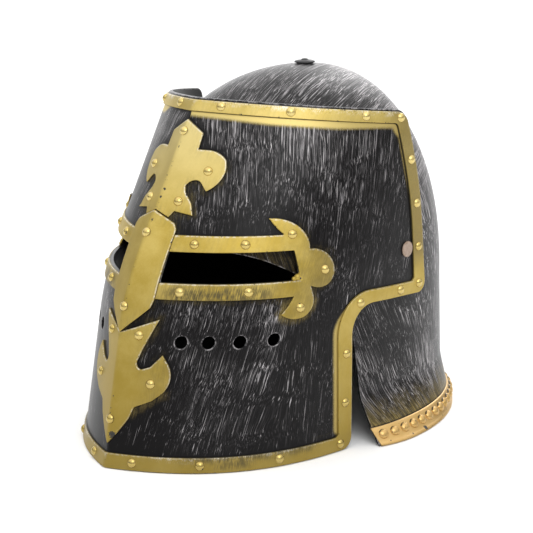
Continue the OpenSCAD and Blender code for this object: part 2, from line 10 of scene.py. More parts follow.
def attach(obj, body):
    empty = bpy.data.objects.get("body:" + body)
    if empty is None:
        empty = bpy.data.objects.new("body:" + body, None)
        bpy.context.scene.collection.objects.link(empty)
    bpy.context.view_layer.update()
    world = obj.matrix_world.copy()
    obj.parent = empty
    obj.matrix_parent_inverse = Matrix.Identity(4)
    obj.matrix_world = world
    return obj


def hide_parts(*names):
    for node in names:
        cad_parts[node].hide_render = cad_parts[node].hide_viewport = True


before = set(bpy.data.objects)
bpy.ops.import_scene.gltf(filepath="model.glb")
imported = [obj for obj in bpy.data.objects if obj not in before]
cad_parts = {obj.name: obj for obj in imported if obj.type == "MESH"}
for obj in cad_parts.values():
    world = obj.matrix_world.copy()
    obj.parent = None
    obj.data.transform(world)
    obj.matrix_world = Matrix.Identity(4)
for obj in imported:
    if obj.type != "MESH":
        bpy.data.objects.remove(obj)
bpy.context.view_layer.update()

# Sizes, as the CAD model has them
VISOR_W, VISOR_H, VISOR_DEPTH, VISOR_WALL, TOP_FALL = 216, 251, 172, 2.4, 11.5
KEEL_FOOT, KEEL_ANGLE, KEEL_R, KEEL_PULL, FLANK_PULL = 165.5, math.radians(20), 2.2, 84, 88
LEAN_LOW, LEAN_HIGH, BEND_Z, BEND_H = math.radians(12), math.radians(30), 121, 60
REAR_REACH, FLANK_Z, CHEEK_REACH = 21, 101, 64
SKULL_W, SKULL_FRONT, SKULL_REAR, SKULL_H, SKULL_WALL = 208, 124, 134, 264.5, 2.4
SKULL_Y, SKULL_DRIFT, CROWN_BACK, PLAN_POWER = 27.5, 2, 27, 2.35
DOME_Z, DOME_POWER, DOME_R = 100, 2.2, 118
FLARE_H, FLARE_SIDE, FLARE_REAR, BROW_Z, BROW_Y = 34, 24, 5, 149, 81
STRAP_T, STRAP_GAP, NOSE_W, NOSE_T = 1.6, 0.3, 38, 2.6
RIM_W, RIM_TOP_W, RIM_LIP, RIM_SIDE_W = 10.5, 8.8, 1.4, 12.5
SLOT_H, SLOT_Z, SLOT_REACH, FRAME_W = 20.5, 139.8, 100, 10.8
BREATH_D, BREATH_Z, BREATH_X = 9, 90, (40, 55.5, 71, 85)
RIVET_D, RIVET_H, STUD_D, STUD_H, STUD_COUNT, STUD_PITCH, BAND_H, BAND_T = 7, 2.2, 7.4, 2.6, 44, 11, 12, 1
PIVOT_Y, PIVOT_Z, PIVOT_D, PIVOT_HEAD, SEAT_GAP = 42.2, 136, 5, 12, 0.2
PAD_T, PAD_H, CROWN_PAD_T, CROWN_PAD_H, PAD_GAP = 16, 34, 12, 31, 0.4

# Places that follow from them
REAR, CHEEK, SLOT_END = PIVOT_Y + REAR_REACH, PIVOT_Y - CHEEK_REACH, PIVOT_Y - SLOT_REACH
SLOT_TOP, SLOT_LOW = SLOT_Z + SLOT_H / 2, SLOT_Z - SLOT_H / 2
FRAME_TOP, FRAME_LOW = SLOT_TOP + FRAME_W, SLOT_LOW - FRAME_W
NOSE_X, NOSE_TOP, NOSE_FOOT = NOSE_W / 2, FRAME_TOP + 15.5, FRAME_LOW - 23.5
TOP_MID = (RIM_TOP_W + RIM_LIP) / 2

# Mesh steps, and a place beyond the helmet's reach
WALL_BEVEL, PLATE_FOOT, FAR = 0.4, -0.25, 260
KEEL_COLUMNS = (-2.2, -1.1, 0, 1.1, 2.2)

# Colours
BLACK, SILVER = (0.0050, 0.0046, 0.0048), (0.62, 0.59, 0.60)
GOLD, GOLD_PALE, GOLD_DARK = (0.53, 0.375, 0.052), (0.75, 0.63, 0.29), (0.24, 0.165, 0.024)
SPRAY_LOW, SPRAY_HIGH, SPRAY_THIN, SPRAY_BRIGHT = (
    (0.30, 0.215, 0.060), (0.64, 0.51, 0.19), (0.20, 0.145, 0.04), (0.60, 0.46, 0.16))
DUST, PAINTED_SHADE_GOLD, BRUSH_DARK = (0.17, 0.14, 0.055), (0.13, 0.10, 0.04), (0.085, 0.068, 0.028)
BARE_EDGE_AND_HIGHLIGHT, PALE_SCUFF_AND_GLINT, SCUFF_DARK = (0.74, 0.73, 0.68), (0.80, 0.79, 0.76), (0.03, 0.027, 0.02)
FOOT_LINE, CHIPPED = (0.02, 0.018, 0.012), (0.02, 0.018, 0.014)


# Small helpers
def unit(v):
    return v / np.maximum(np.linalg.norm(v, axis=-1, keepdims=True), 1e-12)


def smooth(v, a, b):
    """From 0 at a to 1 at b, eased at both ends."""
    t = np.clip((v - a) / (b - a), 0, 1)
    return t * t * (3 - 2 * t)


def run_length(p):
    """The length along a path, at each of its points."""
    return np.append(0, np.cumsum(np.linalg.norm(np.diff(p, axis=0), axis=1)))


def arc(a, b, c, n=8):
    """Points along the arc from a through b to c."""
    a, b, c = (np.array(p, float) for p in (a, b, c))
    d = 2 * (a[0] * (b[1] - c[1]) + b[0] * (c[1] - a[1]) + c[0] * (a[1] - b[1]))
    o = np.array([
        (a @ a * (b[1] - c[1]) + b @ b * (c[1] - a[1]) + c @ c * (a[1] - b[1])) / d,
        (a @ a * (c[0] - b[0]) + b @ b * (a[0] - c[0]) + c @ c * (b[0] - a[0])) / d])
    r = np.linalg.norm(a - o)
    s, m, e = (math.atan2(p[1] - o[1], p[0] - o[0]) for p in (a, b, c))
    m, e = (m - s) % (2 * math.pi), (e - s) % (2 * math.pi)
    sweep = e if m < e else e - 2 * math.pi
    turns = [s + sweep * i / n for i in range(n + 1)]
    return [tuple(o + r * np.array([math.cos(t), math.sin(t)])) for t in turns]


def rounded(pts, radii, n=10):
    """A polygon with its corners rounded to their own radii."""
    out = []
    for i, b in enumerate(pts):
        if radii[i] == 0:
            out.append(tuple(b))
            continue
        b = np.array(b, float)
        u, v = (unit(np.array(pts[(i + k) % len(pts)], float) - b) for k in (-1, 1))
        half = math.acos(u @ v) / 2
        o = b + unit(u + v) * radii[i] / math.sin(half)
        start, end = (b + way * radii[i] / math.tan(half) for way in (u, v))
        out += arc(start, o - unit(u + v) * radii[i], end, n)
    return out


def densify(pts, step, closed=True):
    """Points along a polygon, its own corners kept."""
    pts = [np.array(p, float) for p in pts]
    out = []
    for a, b in zip(pts, pts[1:] + ([pts[0]] if closed else [])):
        n = max(1, int(math.ceil(np.linalg.norm(b - a) / step)))
        out += [a + (b - a) * k / n for k in range(n)]
    if not closed:
        out.append(pts[-1])
    return np.array(out)


def corners(p):
    """The way into each point of a closed outline, the way out, and the turn between them in degrees."""
    leave = unit(np.roll(p, -1, 0) - p)
    arrive = np.roll(leave, 1, 0)
    return arrive, leave, np.degrees(np.arccos(np.clip((arrive * leave).sum(1), -1, 1)))


def resample(path, step, closed=True, corner=22):
    """An even walk along a dense path that keeps its sharp corners."""
    p = np.array(path, float)
    p = p[np.append(True, np.linalg.norm(np.diff(p, axis=0), axis=1) >= 1e-4)]
    if closed and np.linalg.norm(p[0] - p[-1]) < 1e-4:
        p = p[:-1]
    n = len(p)
    turn = corners(p)[2]
    marks = [i for i in range(n) if turn[i] > corner]
    if not closed:
        marks = sorted({0, n - 1} | set(marks))
    marks = marks or [0]
    out = []
    for a, b in zip(marks, marks[1:] + ([marks[0] + n] if closed else [])):
        run = p[np.arange(a, b + 1) % n]
        length = run_length(run)
        at = np.linspace(0, length[-1], max(1, int(round(length[-1] / step))) + 1)[:-1]
        out += list(np.stack([np.interp(at, length, run[:, 0]), np.interp(at, length, run[:, 1])], 1))
    if not closed:
        out.append(p[-1])
    return np.array(out)


def rounded_loop(pts, r=0.9):
    """Corners of a closed outline given a small radius."""
    p = np.array(pts, float)
    n = len(p)
    arrive, leave, turn = corners(p)
    out = []
    for i in range(n):
        if turn[i] < 25:
            out.append(p[i])
            continue
        c = min(r, 0.4 * np.linalg.norm(p[i] - p[i - 1]), 0.4 * np.linalg.norm(p[(i + 1) % n] - p[i]))
        a, b = p[i] - arrive[i] * c, p[i] + leave[i] * c
        out += [(1 - t) ** 2 * a + 2 * t * (1 - t) * p[i] + t * t * b for t in (0, 0.33, 0.67, 1)]
    return np.array(out)


def split_at(loop, values):
    """Adds points where a closed loop crosses s = value."""
    out = []
    for a, b in zip(loop, np.roll(loop, -1, 0)):
        out.append(a)
        cuts = sorted((v - a[0]) / (b[0] - a[0]) for v in values if (a[0] - v) * (b[0] - v) < 0)
        out += [a + (b - a) * t for t in cuts if 0.02 < t < 0.98]
    return np.array(out)


def area(loop):
    x, y = loop[:, 0], loop[:, 1]
    return 0.5 * float(np.sum(x * np.roll(y, -1) - np.roll(x, -1) * y))


def inside(pts, loops):
    """Whether each point lies inside the outer loop and outside the holes."""
    hit = np.zeros(len(pts), bool)
    for a in loops:
        b = np.roll(a, -1, 0)
        rise = np.where(b[:, 1] == a[:, 1], 1e-12, b[:, 1] - a[:, 1])
        for k in range(0, len(pts), 4000):
            x, y = pts[k:k + 4000, 0][:, None], pts[k:k + 4000, 1][:, None]
            cross = (a[:, 1] > y) != (b[:, 1] > y)
            at = a[:, 0] + (y - a[:, 1]) * (b[:, 0] - a[:, 0]) / rise
            hit[k:k + 4000] ^= (np.sum(cross & (x < at), axis=1) % 2).astype(bool)
    return hit


def distance(pts, loops):
    """Distance from each point to the nearest of the loops' sides."""
    best = np.full(len(pts), 1e9)
    for a in loops:
        d = np.roll(a, -1, 0) - a
        dd = np.maximum((d * d).sum(1), 1e-12)
        for k in range(0, len(pts), 1500):
            p = pts[k:k + 1500][:, None, :]
            q = a + np.clip(((p - a) * d).sum(2) / dd, 0, 1)[..., None] * d
            best[k:k + 1500] = np.minimum(best[k:k + 1500], np.sqrt(((p - q) ** 2).sum(2)).min(1))
    return best


def nearest(pts, targets):
    """For each point, the number of the nearest target and the distance to it."""
    tree = kdtree.KDTree(len(targets))
    for i, (x, y) in enumerate(targets):
        tree.insert((x, y, 0), i)
    tree.balance()
    found = [tree.find((x, y, 0)) for x, y in pts]
    return np.array([f[1] for f in found]), np.array([f[2] for f in found])


def inset(loop, b):
    """The loop moved to its left by b, and the unit direction of each move."""
    n0, n1 = (np.stack([-e[:, 1], e[:, 0]], 1) for e in corners(loop)[:2])
    m = (n0 + n1) / np.maximum(1 + (n0 * n1).sum(1), 0.35)[:, None]
    size = np.linalg.norm(m, axis=1, keepdims=True)
    return loop + m * np.minimum(size, 1.9) / size * b, m / size


def fill(loops, grid, columns=()):
    """Triangles of the region inside the loops, with an even spread of inner points and columns at the keel.

    Gives the points, the triangles, and where each point of the loops is among the points."""
    lo, hi = loops[0].min(0), loops[0].max(0)
    pts = []
    for i, z in enumerate(np.arange(lo[1], hi[1], grid * 0.866)):
        x = np.arange(lo[0] + (0.5 * grid if i % 2 else 0), hi[0], grid)
        pts.append(np.stack([x, np.full(len(x), z)], 1))
    pts = np.vstack(pts)
    if columns:
        pts = pts[np.abs(pts[:, 0]) > max(columns) + 0.45 * grid]
        z = np.arange(lo[1], hi[1], 2.2)
        pts = np.vstack([pts] + [np.stack([np.full(len(z), c), z], 1) for c in columns])
    pts = pts[inside(pts, loops)]
    pts = pts[distance(pts, loops) > np.where(np.abs(pts[:, 0]) < 3, 0.6, 0.5 * grid)]
    edges, start = [], 0
    for loop in loops:
        n = len(loop)
        edges += [(start + k, start + (k + 1) % n) for k in range(n)]
        start += n
    coords = [Vector((float(x), float(y))) for x, y in np.vstack(loops + [pts])]
    verts, _, faces, origin, _, _ = delaunay_2d_cdt(coords, edges, [], 0, 1e-5, True)
    uv, tri = np.array([(v.x, v.y) for v in verts]), np.array(faces)
    tri = tri[inside(uv[tri].mean(1), loops)]
    lookup = np.full(len(coords), -1)
    for k, ids in enumerate(origin):
        lookup[list(ids)] = k
    return uv, tri, lookup[:start]


class Shape:
    """Vertices with their own normals and named values, gathered into one mesh."""

    def __init__(self):
        self.points, self.normals = np.zeros((0, 3)), np.zeros((0, 3))
        self.faces, self.values = [], {}

    def add(self, points, normals, **values):
        """Adds vertices and gives their numbers. A value that isn't given is 0."""
        first, count = len(self.points), len(points)
        self.points = np.vstack([self.points, points])
        self.normals = np.vstack([self.normals, normals])
        for key in set(self.values) | set(values):
            have = self.values.get(key, np.zeros(first))
            self.values[key] = np.append(have, np.broadcast_to(np.asarray(values.get(key, 0), float), count))
        return np.arange(first, first + count)

    def strip(self, a, b, closed=True, skip=None):
        """Quads between two rows of vertices."""
        quads = np.stack([a, b, np.roll(b, -1), np.roll(a, -1)], 1)[:len(a) if closed else -1]
        self.faces += (quads if skip is None else quads[~skip]).tolist()

    def skin(self, rows, closed=True):
        """Quads between each row and the next."""
        for low, high in zip(rows, rows[1:]):
            self.strip(low, high, closed)

    def fan(self, row, hub, closed=True):
        """Triangles between a row of vertices and one vertex."""
        rows = np.stack([row, np.roll(row, -1), np.repeat(hub, len(row))], 1)
        self.faces += rows[:len(row) if closed else -1].tolist()

    def paint(self, **values):
        """Values for the outer face of a shell. Its inner face gets those of bare black."""
        outer = self.values["out"] > 0.5
        for key, value in values.items():
            self.values[key] = np.where(outer, value, {"gap": 9.0, "wide": -9.0}.get(key, 0.0))

    def mesh(self, name, mirror=False):
        points, normals = self.points * 0.001, unit(self.normals)
        faces = []
        for count in (3, 4):
            rows = np.array([f for f in self.faces if len(f) == count])
            if len(rows):
                q = points[rows]
                flat = np.cross(q[:, 2] - q[:, 0], q[:, -1] - q[:, 1])
                turned_over = (flat * normals[rows].sum(1)).sum(1) < 0
                rows[turned_over, 1:] = rows[turned_over, :0:-1]
                faces += rows.tolist()
        side = [1, 1, 1]
        if mirror:
            side = [-1, 1, 1]
            faces = [f[::-1] for f in faces]
        me = bpy.data.meshes.new(name)
        me.from_pydata((points * side).tolist(), [], faces)
        me.update()
        me.polygons.foreach_set("use_smooth", [True] * len(me.polygons))
        for key, value in self.values.items():
            value = -value if mirror and key == "flow_s" else value
            me.attributes.new(key, "FLOAT", "POINT").data.foreach_set("value", value.astype(np.float32))
        me.normals_split_custom_set_from_vertices((normals * side).tolist())
        return me


def piece(shape, name, material, body, node, mirror=False):
    """An object of the visual model that rides on a body and stands for a CAD node."""
    me = shape.mesh(name, mirror)
    me.materials.append(material)
    ob = bpy.data.objects.new(name, me)
    bpy.context.scene.collection.objects.link(ob)
    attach(ob, body)
    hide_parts(node)
    return ob


# The visor's surface, by the distance s round its level section and the height z
def visor_section():
    """Length, x, depth and heading along the section, a curve from the keel to the rear edge and on."""
    t = np.linspace(0, 1, 601)[:, None]
    knots = np.array([[0, 0], [KEEL_PULL * math.cos(KEEL_ANGLE), KEEL_PULL * math.sin(KEEL_ANGLE)],
                      [VISOR_W / 2, VISOR_DEPTH - FLANK_PULL], [VISOR_W / 2, VISOR_DEPTH]])
    shares = ((1 - t) ** 3, 3 * t * (1 - t) ** 2, 3 * t ** 2 * (1 - t), t ** 3)
    curve = sum(share * knot for share, knot in zip(shares, knots))
    curve = np.vstack([curve, [VISOR_W / 2, VISOR_DEPTH + 90]])
    way = np.gradient(curve, axis=0)
    heading = np.unwrap(np.arctan2(way[:, 1], way[:, 0]))
    heading[0], heading[-2:] = KEEL_ANGLE, math.pi / 2
    return run_length(curve), curve[:, 0], curve[:, 1], heading


SECTION_S, SECTION_X, SECTION_Y, SECTION_HEADING = visor_section()


def keel(z):
    """The keel's depth at height z: a steady lean, a bend, and a steeper lean."""
    low, high = math.tan(LEAN_LOW), math.tan(LEAN_HIGH)
    w = np.maximum(0, np.minimum(z, BEND_Z + BEND_H / 2) - (BEND_Z - BEND_H / 2))
    above = np.maximum(0, z - BEND_Z - BEND_H / 2)
    return -KEEL_FOOT + low * z + (high - low) * (w * w / (2 * BEND_H) + above)


def keel_slope(z):
    return keel(z + 0.5) - keel(z - 0.5)


def visor(s, z, d):
    """Point, outward normal and the two directions in the surface, at the offset d from it."""
    s, z, d = np.broadcast_arrays(np.asarray(s, float), np.asarray(z, float), np.asarray(d, float))
    side = np.where(s < 0, -1.0, 1.0)
    a = np.abs(s)
    q = a - d * math.tan(KEEL_ANGLE) * np.maximum(0, 1 - a / 12)
    x, y, h = (np.interp(q, SECTION_S, v) for v in (SECTION_X, SECTION_Y, SECTION_HEADING))
    x = np.where(q < 0, q * math.cos(KEEL_ANGLE), x)
    y = np.where(q < 0, q * math.sin(KEEL_ANGLE), y)
    x = x + d * np.sin(h)
    y = y - d * np.cos(h)
    near = np.minimum(a, KEEL_R) / KEEL_R
    y = y + math.sin(KEEL_ANGLE) * KEEL_R * (near * near / 2 + 0.5 - near)
    h = np.where(a < KEEL_R, KEEL_ANGLE * near, h)
    k = keel_slope(z)
    p = np.stack([x * side, keel(z) + y, z], -1)
    n = unit(np.stack([np.sin(h) * side, -np.cos(h), k * np.cos(h)], -1))
    along_s = np.stack([np.cos(h), np.sin(h) * side, np.zeros_like(h)], -1)
    along_z = unit(np.stack([np.zeros_like(k), k, np.ones_like(k)], -1))
    return p, n, along_s, along_z


def s_at_x(x):
    return np.sign(x) * np.interp(np.abs(x), SECTION_X[:-1], SECTION_S[:-1])


def s_at_y(y, z):
    return np.interp(np.asarray(y, float) - keel(np.asarray(z, float)), SECTION_Y, SECTION_S)


def front_loop(pts):
    """A front-view polygon (x, z), taken onto the surface."""
    p = densify(pts, 0.6)
    return resample(rounded_loop(np.stack([s_at_x(p[:, 0]), p[:, 1]], 1), 0.6), 1.1)


def side_path(pts):
    """The part of a closed side-view polygon (y, z) on the surface, from the keel round and back to it."""
    p = densify(pts, 0.4)
    on = p[:, 0] > keel(p[:, 1]) + 0.02
    k = int(np.argmax(on & ~np.roll(on, 1)))
    p = np.roll(p, -k, 0)[np.roll(on, -k)]
    out = np.stack([s_at_y(p[:, 0], p[:, 1]), p[:, 1]], 1)
    first, last = out[0] * [0, 1], out[-1] * [0, 1]
    return np.vstack([[first], out, [last]])


# The skull's surface, by the angle a round it and the height z
def skull_point(a, z, d):
    """A point at the offset d from the surface, which a flare, a dome and a drift shape."""
    a, z, d = np.broadcast_arrays(np.asarray(a, float), np.asarray(z, float), np.asarray(d, float))
    t = np.clip((z - DOME_Z) / (SKULL_H - DOME_Z), 0, 1)
    s = np.power(np.maximum(1 - t ** DOME_POWER, 0), 1 / DOME_POWER)
    f = np.where(z >= FLARE_H, 0, np.maximum(0, 1 - z / FLARE_H) ** 1.3)
    m = PLAN_POWER - (PLAN_POWER - 2) * f
    g = SKULL_DRIFT * np.maximum(0, 1 - z / DOME_Z) + d
    wide = (SKULL_W / 2 + FLARE_SIDE * f + g) * s
    fore = (SKULL_FRONT - 26 * f + g) * s
    aft = (SKULL_REAR + FLARE_REAR * f + g) * s
    mid = SKULL_Y - 4 * f + CROWN_BACK * (1 - s)
    c, s = np.cos(a), np.sin(a)
    wide, deep = np.maximum(wide, 1e-6), np.maximum(np.where(s > 0, aft, fore), 1e-6)
    r = (np.abs(c) ** m + np.abs(s) ** m) ** (-1 / m)
    return np.stack([r * c * wide, mid + r * s * deep, z + d * t], -1)


def dome_profile():
    """The way v down from the crown along the dome and the wall, and the height there."""
    t = np.linspace(math.pi / 2, 0, 400)
    z = DOME_Z + (SKULL_H - DOME_Z) * np.sin(t) ** (2 / DOME_POWER)
    v = run_length(np.stack([z, DOME_R * np.cos(t) ** (2 / DOME_POWER)], 1))
    return np.append(v, v[-1] + DOME_Z), np.append(z, 0)


PROFILE_V, PROFILE_Z = dome_profile()
FOOT_V = PROFILE_V[-1]


def skull_z(v):
    return np.interp(v, PROFILE_V, PROFILE_Z)


def skull_v(z):
    return np.interp(-np.asarray(z, float), -PROFILE_Z, PROFILE_V)


def skull(a, z, d):
    """Point and outward normal."""
    v = skull_v(z)
    above, below = skull_z(np.maximum(v - 0.6, 0.02)), skull_z(np.minimum(v + 0.6, FOOT_V))
    round_it = skull_point(np.asarray(a) + 0.01, z, d) - skull_point(np.asarray(a) - 0.01, z, d)
    up_it = skull_point(a, above, d) - skull_point(a, below, d)
    n = np.cross(unit(round_it), unit(up_it))
    n = np.where((np.asarray(v) < 0.7)[..., None], np.array([0, 0, 1.0]), n)
    return skull_point(a, z, d), unit(n)


def skull_angle(y, z):
    """The angle on the +X side at which the skull has depth y, or None where it has no such depth."""
    a = np.linspace(-math.pi / 2, math.pi / 2, 721)
    depth = skull_point(a, z, 0)[:, 1]
    return float(np.interp(y, depth, a)) if depth[0] < y < depth[-1] else None


# Plates and shells
def wall_rings(wall):
    """Rings that round a wall's edge: share of the inset, offset, normal's tilt, distance to the edge."""
    half = [(0.5, 0.05, 35), (0.134, 0.2, 60), (0, 0.4, 90)]
    rings = [(share, -d, tilt) for share, d, tilt in half]
    rings += [(share, d - wall, 180 - tilt) for share, d, tilt in half[::-1]]
    return [(share, d, tilt, 0.0 if tilt < 90 else 1.5) for share, d, tilt in rings]


def plate_rings(top, bevel):
    """Rings that round a plate's upper edge and go down to its foot, as above."""
    rings = []
    for tilt, edge in ((30, 0.0), (60, 0.0), (90, -0.4)):
        t = math.radians(tilt)
        rings.append((1 - math.sin(t), top - bevel * (1 - math.cos(t)), tilt, edge))
    return rings + [(0, PLATE_FOOT, 90, PLATE_FOOT - top)]


def hem(shape, row, loop, inner, rings, place, skip=None, **values):
    """Rows of vertices over the rings, with quads between them, from a face's row at its inset outline."""
    for share, d, tilt, edge in rings:
        uv = loop + (inner - loop) * share
        p, n, out = place(uv, d)
        t = math.radians(tilt)
        new = shape.add(p, n * math.cos(t) + out * math.sin(t), edge=edge, out=float(tilt < 90),
                        flow_s=uv[:, 0], flow_z=uv[:, 1], **values)
        shape.strip(row, new, skip=skip)
        row = new
    return row


def visor_place(loop, inner, ways):
    """Point, normal and the way out of an outline, at places on the visor beside it."""
    def place(uv, d):
        p, n, along_s, along_z = visor(uv[:, 0], uv[:, 1], d)
        return p, n, -(ways[:, :1] * along_s + ways[:, 1:] * along_z)
    return place


def relief(loop, top, bevel, grid, columns=(), halved=False):
    """A plate on the visor's surface, top thick. A halved one is cut at the keel, and its cut stays open."""
    shape = Shape()
    loop = split_at(loop if area(loop) > 0 else loop[::-1], columns)
    inner, ways = inset(loop, bevel)
    skip = None
    if halved:
        at = np.abs(loop[:, 0]) < 1e-3
        inner[at, 0] = 0.0
        level = np.where(np.abs(ways[at, 1]) < 0.3, 0, ways[at, 1])
        ways[at] = unit(np.stack([np.zeros(at.sum()), level + 1e-9], 1))
        skip = at & np.roll(at, -1)
    uv, tri, ids = fill([inner], grid, columns)
    # paint rubs off where an edge faces up and towards the front, and a painted highlight lies there too
    up = -(ways @ np.array([0.55, 0.83]))
    p, n, _, _ = visor(uv[:, 0], uv[:, 1], top)
    face = shape.add(p, n, edge=distance(uv, [loop]), flow_s=uv[:, 0], flow_z=uv[:, 1],
                     up=up[nearest(uv, loop)[0]])
    shape.faces += face[tri].tolist()
    hem(shape, face[ids], loop, inner, plate_rings(top, bevel), visor_place(loop, inner, ways), skip, up=up)
    return shape


def shell(loops, wall, grid, place, columns=()):
    """Two faces, wall apart, that are joined round all their outlines. The first loop is the outer one."""
    shape = Shape()
    loops = [split_at(lp if (area(lp) > 0) == (i == 0) else lp[::-1], columns) for i, lp in enumerate(loops)]
    insets = [inset(lp, WALL_BEVEL) for lp in loops]
    uv, tri, ids = fill([inner for inner, _ in insets], grid, columns)
    look = {"edge": distance(uv, loops), "flow_s": uv[:, 0], "flow_z": uv[:, 1]}
    ways = np.zeros((len(uv), 2))
    p, n, _ = place(uv, uv, ways)(uv, 0.0)
    face = shape.add(p, n, out=1.0, **look)
    p, n, _ = place(uv, uv, ways)(uv, -wall)
    back = shape.add(p, -n, **look)
    shape.faces += face[tri].tolist() + back[tri].tolist()
    start = 0
    for lp, (inner, ways) in zip(loops, insets):
        row = ids[start:start + len(lp)]
        start += len(lp)
        last = hem(shape, face[row], lp, inner, wall_rings(wall), place(lp, inner, ways))
        shape.strip(last, back[row])
    return shape


def spun(shape, rings, at, axis, sides=20, edge=9.0, foot=-0.8, beside=(0, 0, 1.0)):
    """A turned shape: rings of (radius, height, the normal's tilt from the axis) about an axis."""
    u = unit(np.cross(beside, axis))
    v = np.cross(axis, u)
    t = np.linspace(0, 2 * math.pi, sides, endpoint=False)
    ring = np.cos(t)[:, None] * u + np.sin(t)[:, None] * v
    last = None
    for r, h, tilt in rings:
        if r == 0:
            shape.fan(last, shape.add([at + axis * h], [axis], edge=edge))
            continue
        tilt = math.radians(tilt)
        row = shape.add(at + ring * r + axis * h, ring * math.sin(tilt) + axis * math.cos(tilt),
                        edge=edge if h > 0.01 else foot)
        if last is not None:
            shape.strip(last, row)
        last = row


def dome_rings(d, h, rim=0.3, n=7):
    """Rings of a domed head of diameter d and height h, for spun."""
    r = d / 2
    big = (r * r + h * h) / (2 * h)
    top = math.asin(min(1, r / big))
    rings = [(r, -rim, 90), (r, 0.0, 80)]
    rings += [(big * math.sin(top * k / n), h - big + big * math.cos(top * k / n), math.degrees(top * k / n))
              for k in range(n - 1, 0, -1)]
    return rings + [(0, h, 0)]


# Outlines, mostly of the visor's +X half
def top_edge(y):
    return VISOR_H - (y - keel(VISOR_H)) * TOP_FALL / 100


def visor_edge(w=0, side_w=0, top_w=0):
    """The visor's side view, or the inner edge of a strap of those widths round it."""
    return rounded([
        [-FAR, top_edge(-FAR) - top_w],
        [REAR - 18.5 - side_w * 0.68, top_edge(REAR - 18.5) - top_w],
        [REAR - 5 - side_w * 0.96, PIVOT_Z + 34],
        [REAR + 1 - side_w * 1.08, FLANK_Z - 1 + w],
        [CHEEK + 3 - side_w, FLANK_Z + 4 + w],
        [CHEEK - 1 - side_w, w],
        [-FAR, w],
    ], [0, 10, 500, 8, 21, 9, 0] if side_w == 0 else [0, 3, 500, 3, 31, 3, 0])


def from_top(path):
    """The path with its start at the top of the keel."""
    return path if path[0][1] > path[-1][1] else path[::-1]


def slot_rear():
    """The sight slot's rear end, from its lower corner up."""
    z = np.linspace(SLOT_LOW, SLOT_TOP, 18)
    return np.stack([s_at_y(np.full(18, SLOT_END), z), z], 1)


def cross_outline():
    """The sight frame's rear end in the side view: a cross of three lobes."""
    y = SLOT_END
    pts = [(-FAR, FRAME_LOW)]
    pts += arc((y - 6.5, FRAME_LOW), (y - 11, SLOT_LOW - 17), (y - 16.5, SLOT_LOW - 22.5), 10)
    pts += arc((y - 16, SLOT_LOW - 23), (y + 1, SLOT_LOW - 24.5), (y + 7.5, SLOT_LOW - 12), 18)
    pts += [(y + 6.5, SLOT_LOW - 5)]
    pts += arc((y + 7, SLOT_LOW - 5), (y + 20, SLOT_LOW - 5), (y + 26, SLOT_LOW + 6), 14)
    pts += arc((y + 26, SLOT_LOW + 7), (y + 22, SLOT_TOP - 4.5), (y + 12, SLOT_TOP), 14)
    pts += arc((y + 10.5, SLOT_TOP), (y + 5, SLOT_TOP + 17.5), (y - 8.5, SLOT_TOP + 22), 18)
    pts += arc((y - 8.2, SLOT_TOP + 21.5), (y - 6.5, SLOT_TOP + 16), (y - 3.5, FRAME_TOP + 0.5), 10)
    return pts + [(y - 4, FRAME_TOP), (-FAR, FRAME_TOP)]


def frame_loop():
    """The sight frame, open towards the nose bar, which covers its front ends."""
    a = float(s_at_x(NOSE_X + 0.02))
    path = from_top(side_path(cross_outline()))[::-1]
    path = path[path[:, 0] > a]
    loop = [[a, FRAME_LOW], path, [a, FRAME_TOP], [a, SLOT_TOP], slot_rear()[::-1], [a, SLOT_LOW]]
    return resample(rounded_loop(densify(np.vstack(loop), 1.0), 0.7), 1.1)


def both_halves(half):
    """A closed outline from its +X half, which starts and ends in the middle."""
    return np.vstack([half, half[::-1][1:-1] * [-1, 1]])


def mirrored(pts):
    return list(pts) + [(-x, z) for x, z in reversed(list(pts)) if x > 0]


def lobe(height, a, b, c, n):
    """An arc of a fleur, with its heights as shares of the fleur's."""
    return [(x, y / height) for x, y in arc(a, b, c, n)]


UPPER_FOOT = NOSE_TOP + STRAP_GAP
UPPER_H = top_edge(keel(VISOR_H)) - RIM_W - 4 - UPPER_FOOT
LOWER_FOOT = 17
LOWER_H = NOSE_FOOT - STRAP_GAP - LOWER_FOOT
nose_outline = [
    (0, NOSE_TOP), (NOSE_X - 2.5, NOSE_TOP - 8), (NOSE_X, NOSE_TOP - 12),
    (NOSE_X, FRAME_LOW - 0.5), (NOSE_X - 1.5, FRAME_LOW - 6), (0, NOSE_FOOT)]
upper_outline = [
    (0, 1), (14, 0.85), (14.5, 0.67),
    *lobe(60, (20, 40), (28, 38.5), (35, 33.5), 10),
    *lobe(60, (36.5, 29), (36, 21), (29, 13), 12),
    *lobe(60, (24.5, 18), (19, 20), (14.5, 16), 14),
    (16, 0.2), (22.5, 0.08), (26, -0.05), (13, -0.01), (10.5, -0.08), (0, 0)]
lower_outline = [
    (0, 1), (25, 1.13), (16.5, 0.86),
    *lobe(77, (14.5, 60), (14.5, 54.5), (17, 52.5), 8), (23, 0.71), (30, 0.82),
    *lobe(77, (34, 57), (36.5, 46), (32, 36.5), 14),
    (26.5, 0.41), (15.5, 0.345), (12.5, 0.235), (6, 0.1), (0, 0)]
nose_loop = front_loop(mirrored(nose_outline))
upper_loop = front_loop(mirrored([(x, UPPER_FOOT + y * UPPER_H) for x, y in upper_outline]))
lower_loop = front_loop(mirrored([(x, LOWER_FOOT + y * LOWER_H) for x, y in lower_outline]))
sight_loop = frame_loop()
lip_path = from_top(side_path(visor_edge(0, 0, RIM_LIP)))
strap_path = from_top(side_path(visor_edge(RIM_W, RIM_SIDE_W, RIM_TOP_W)))
rim_loop = np.vstack([resample(lip_path, 1.2, closed=False), resample(strap_path, 1.2, closed=False)[::-1]])


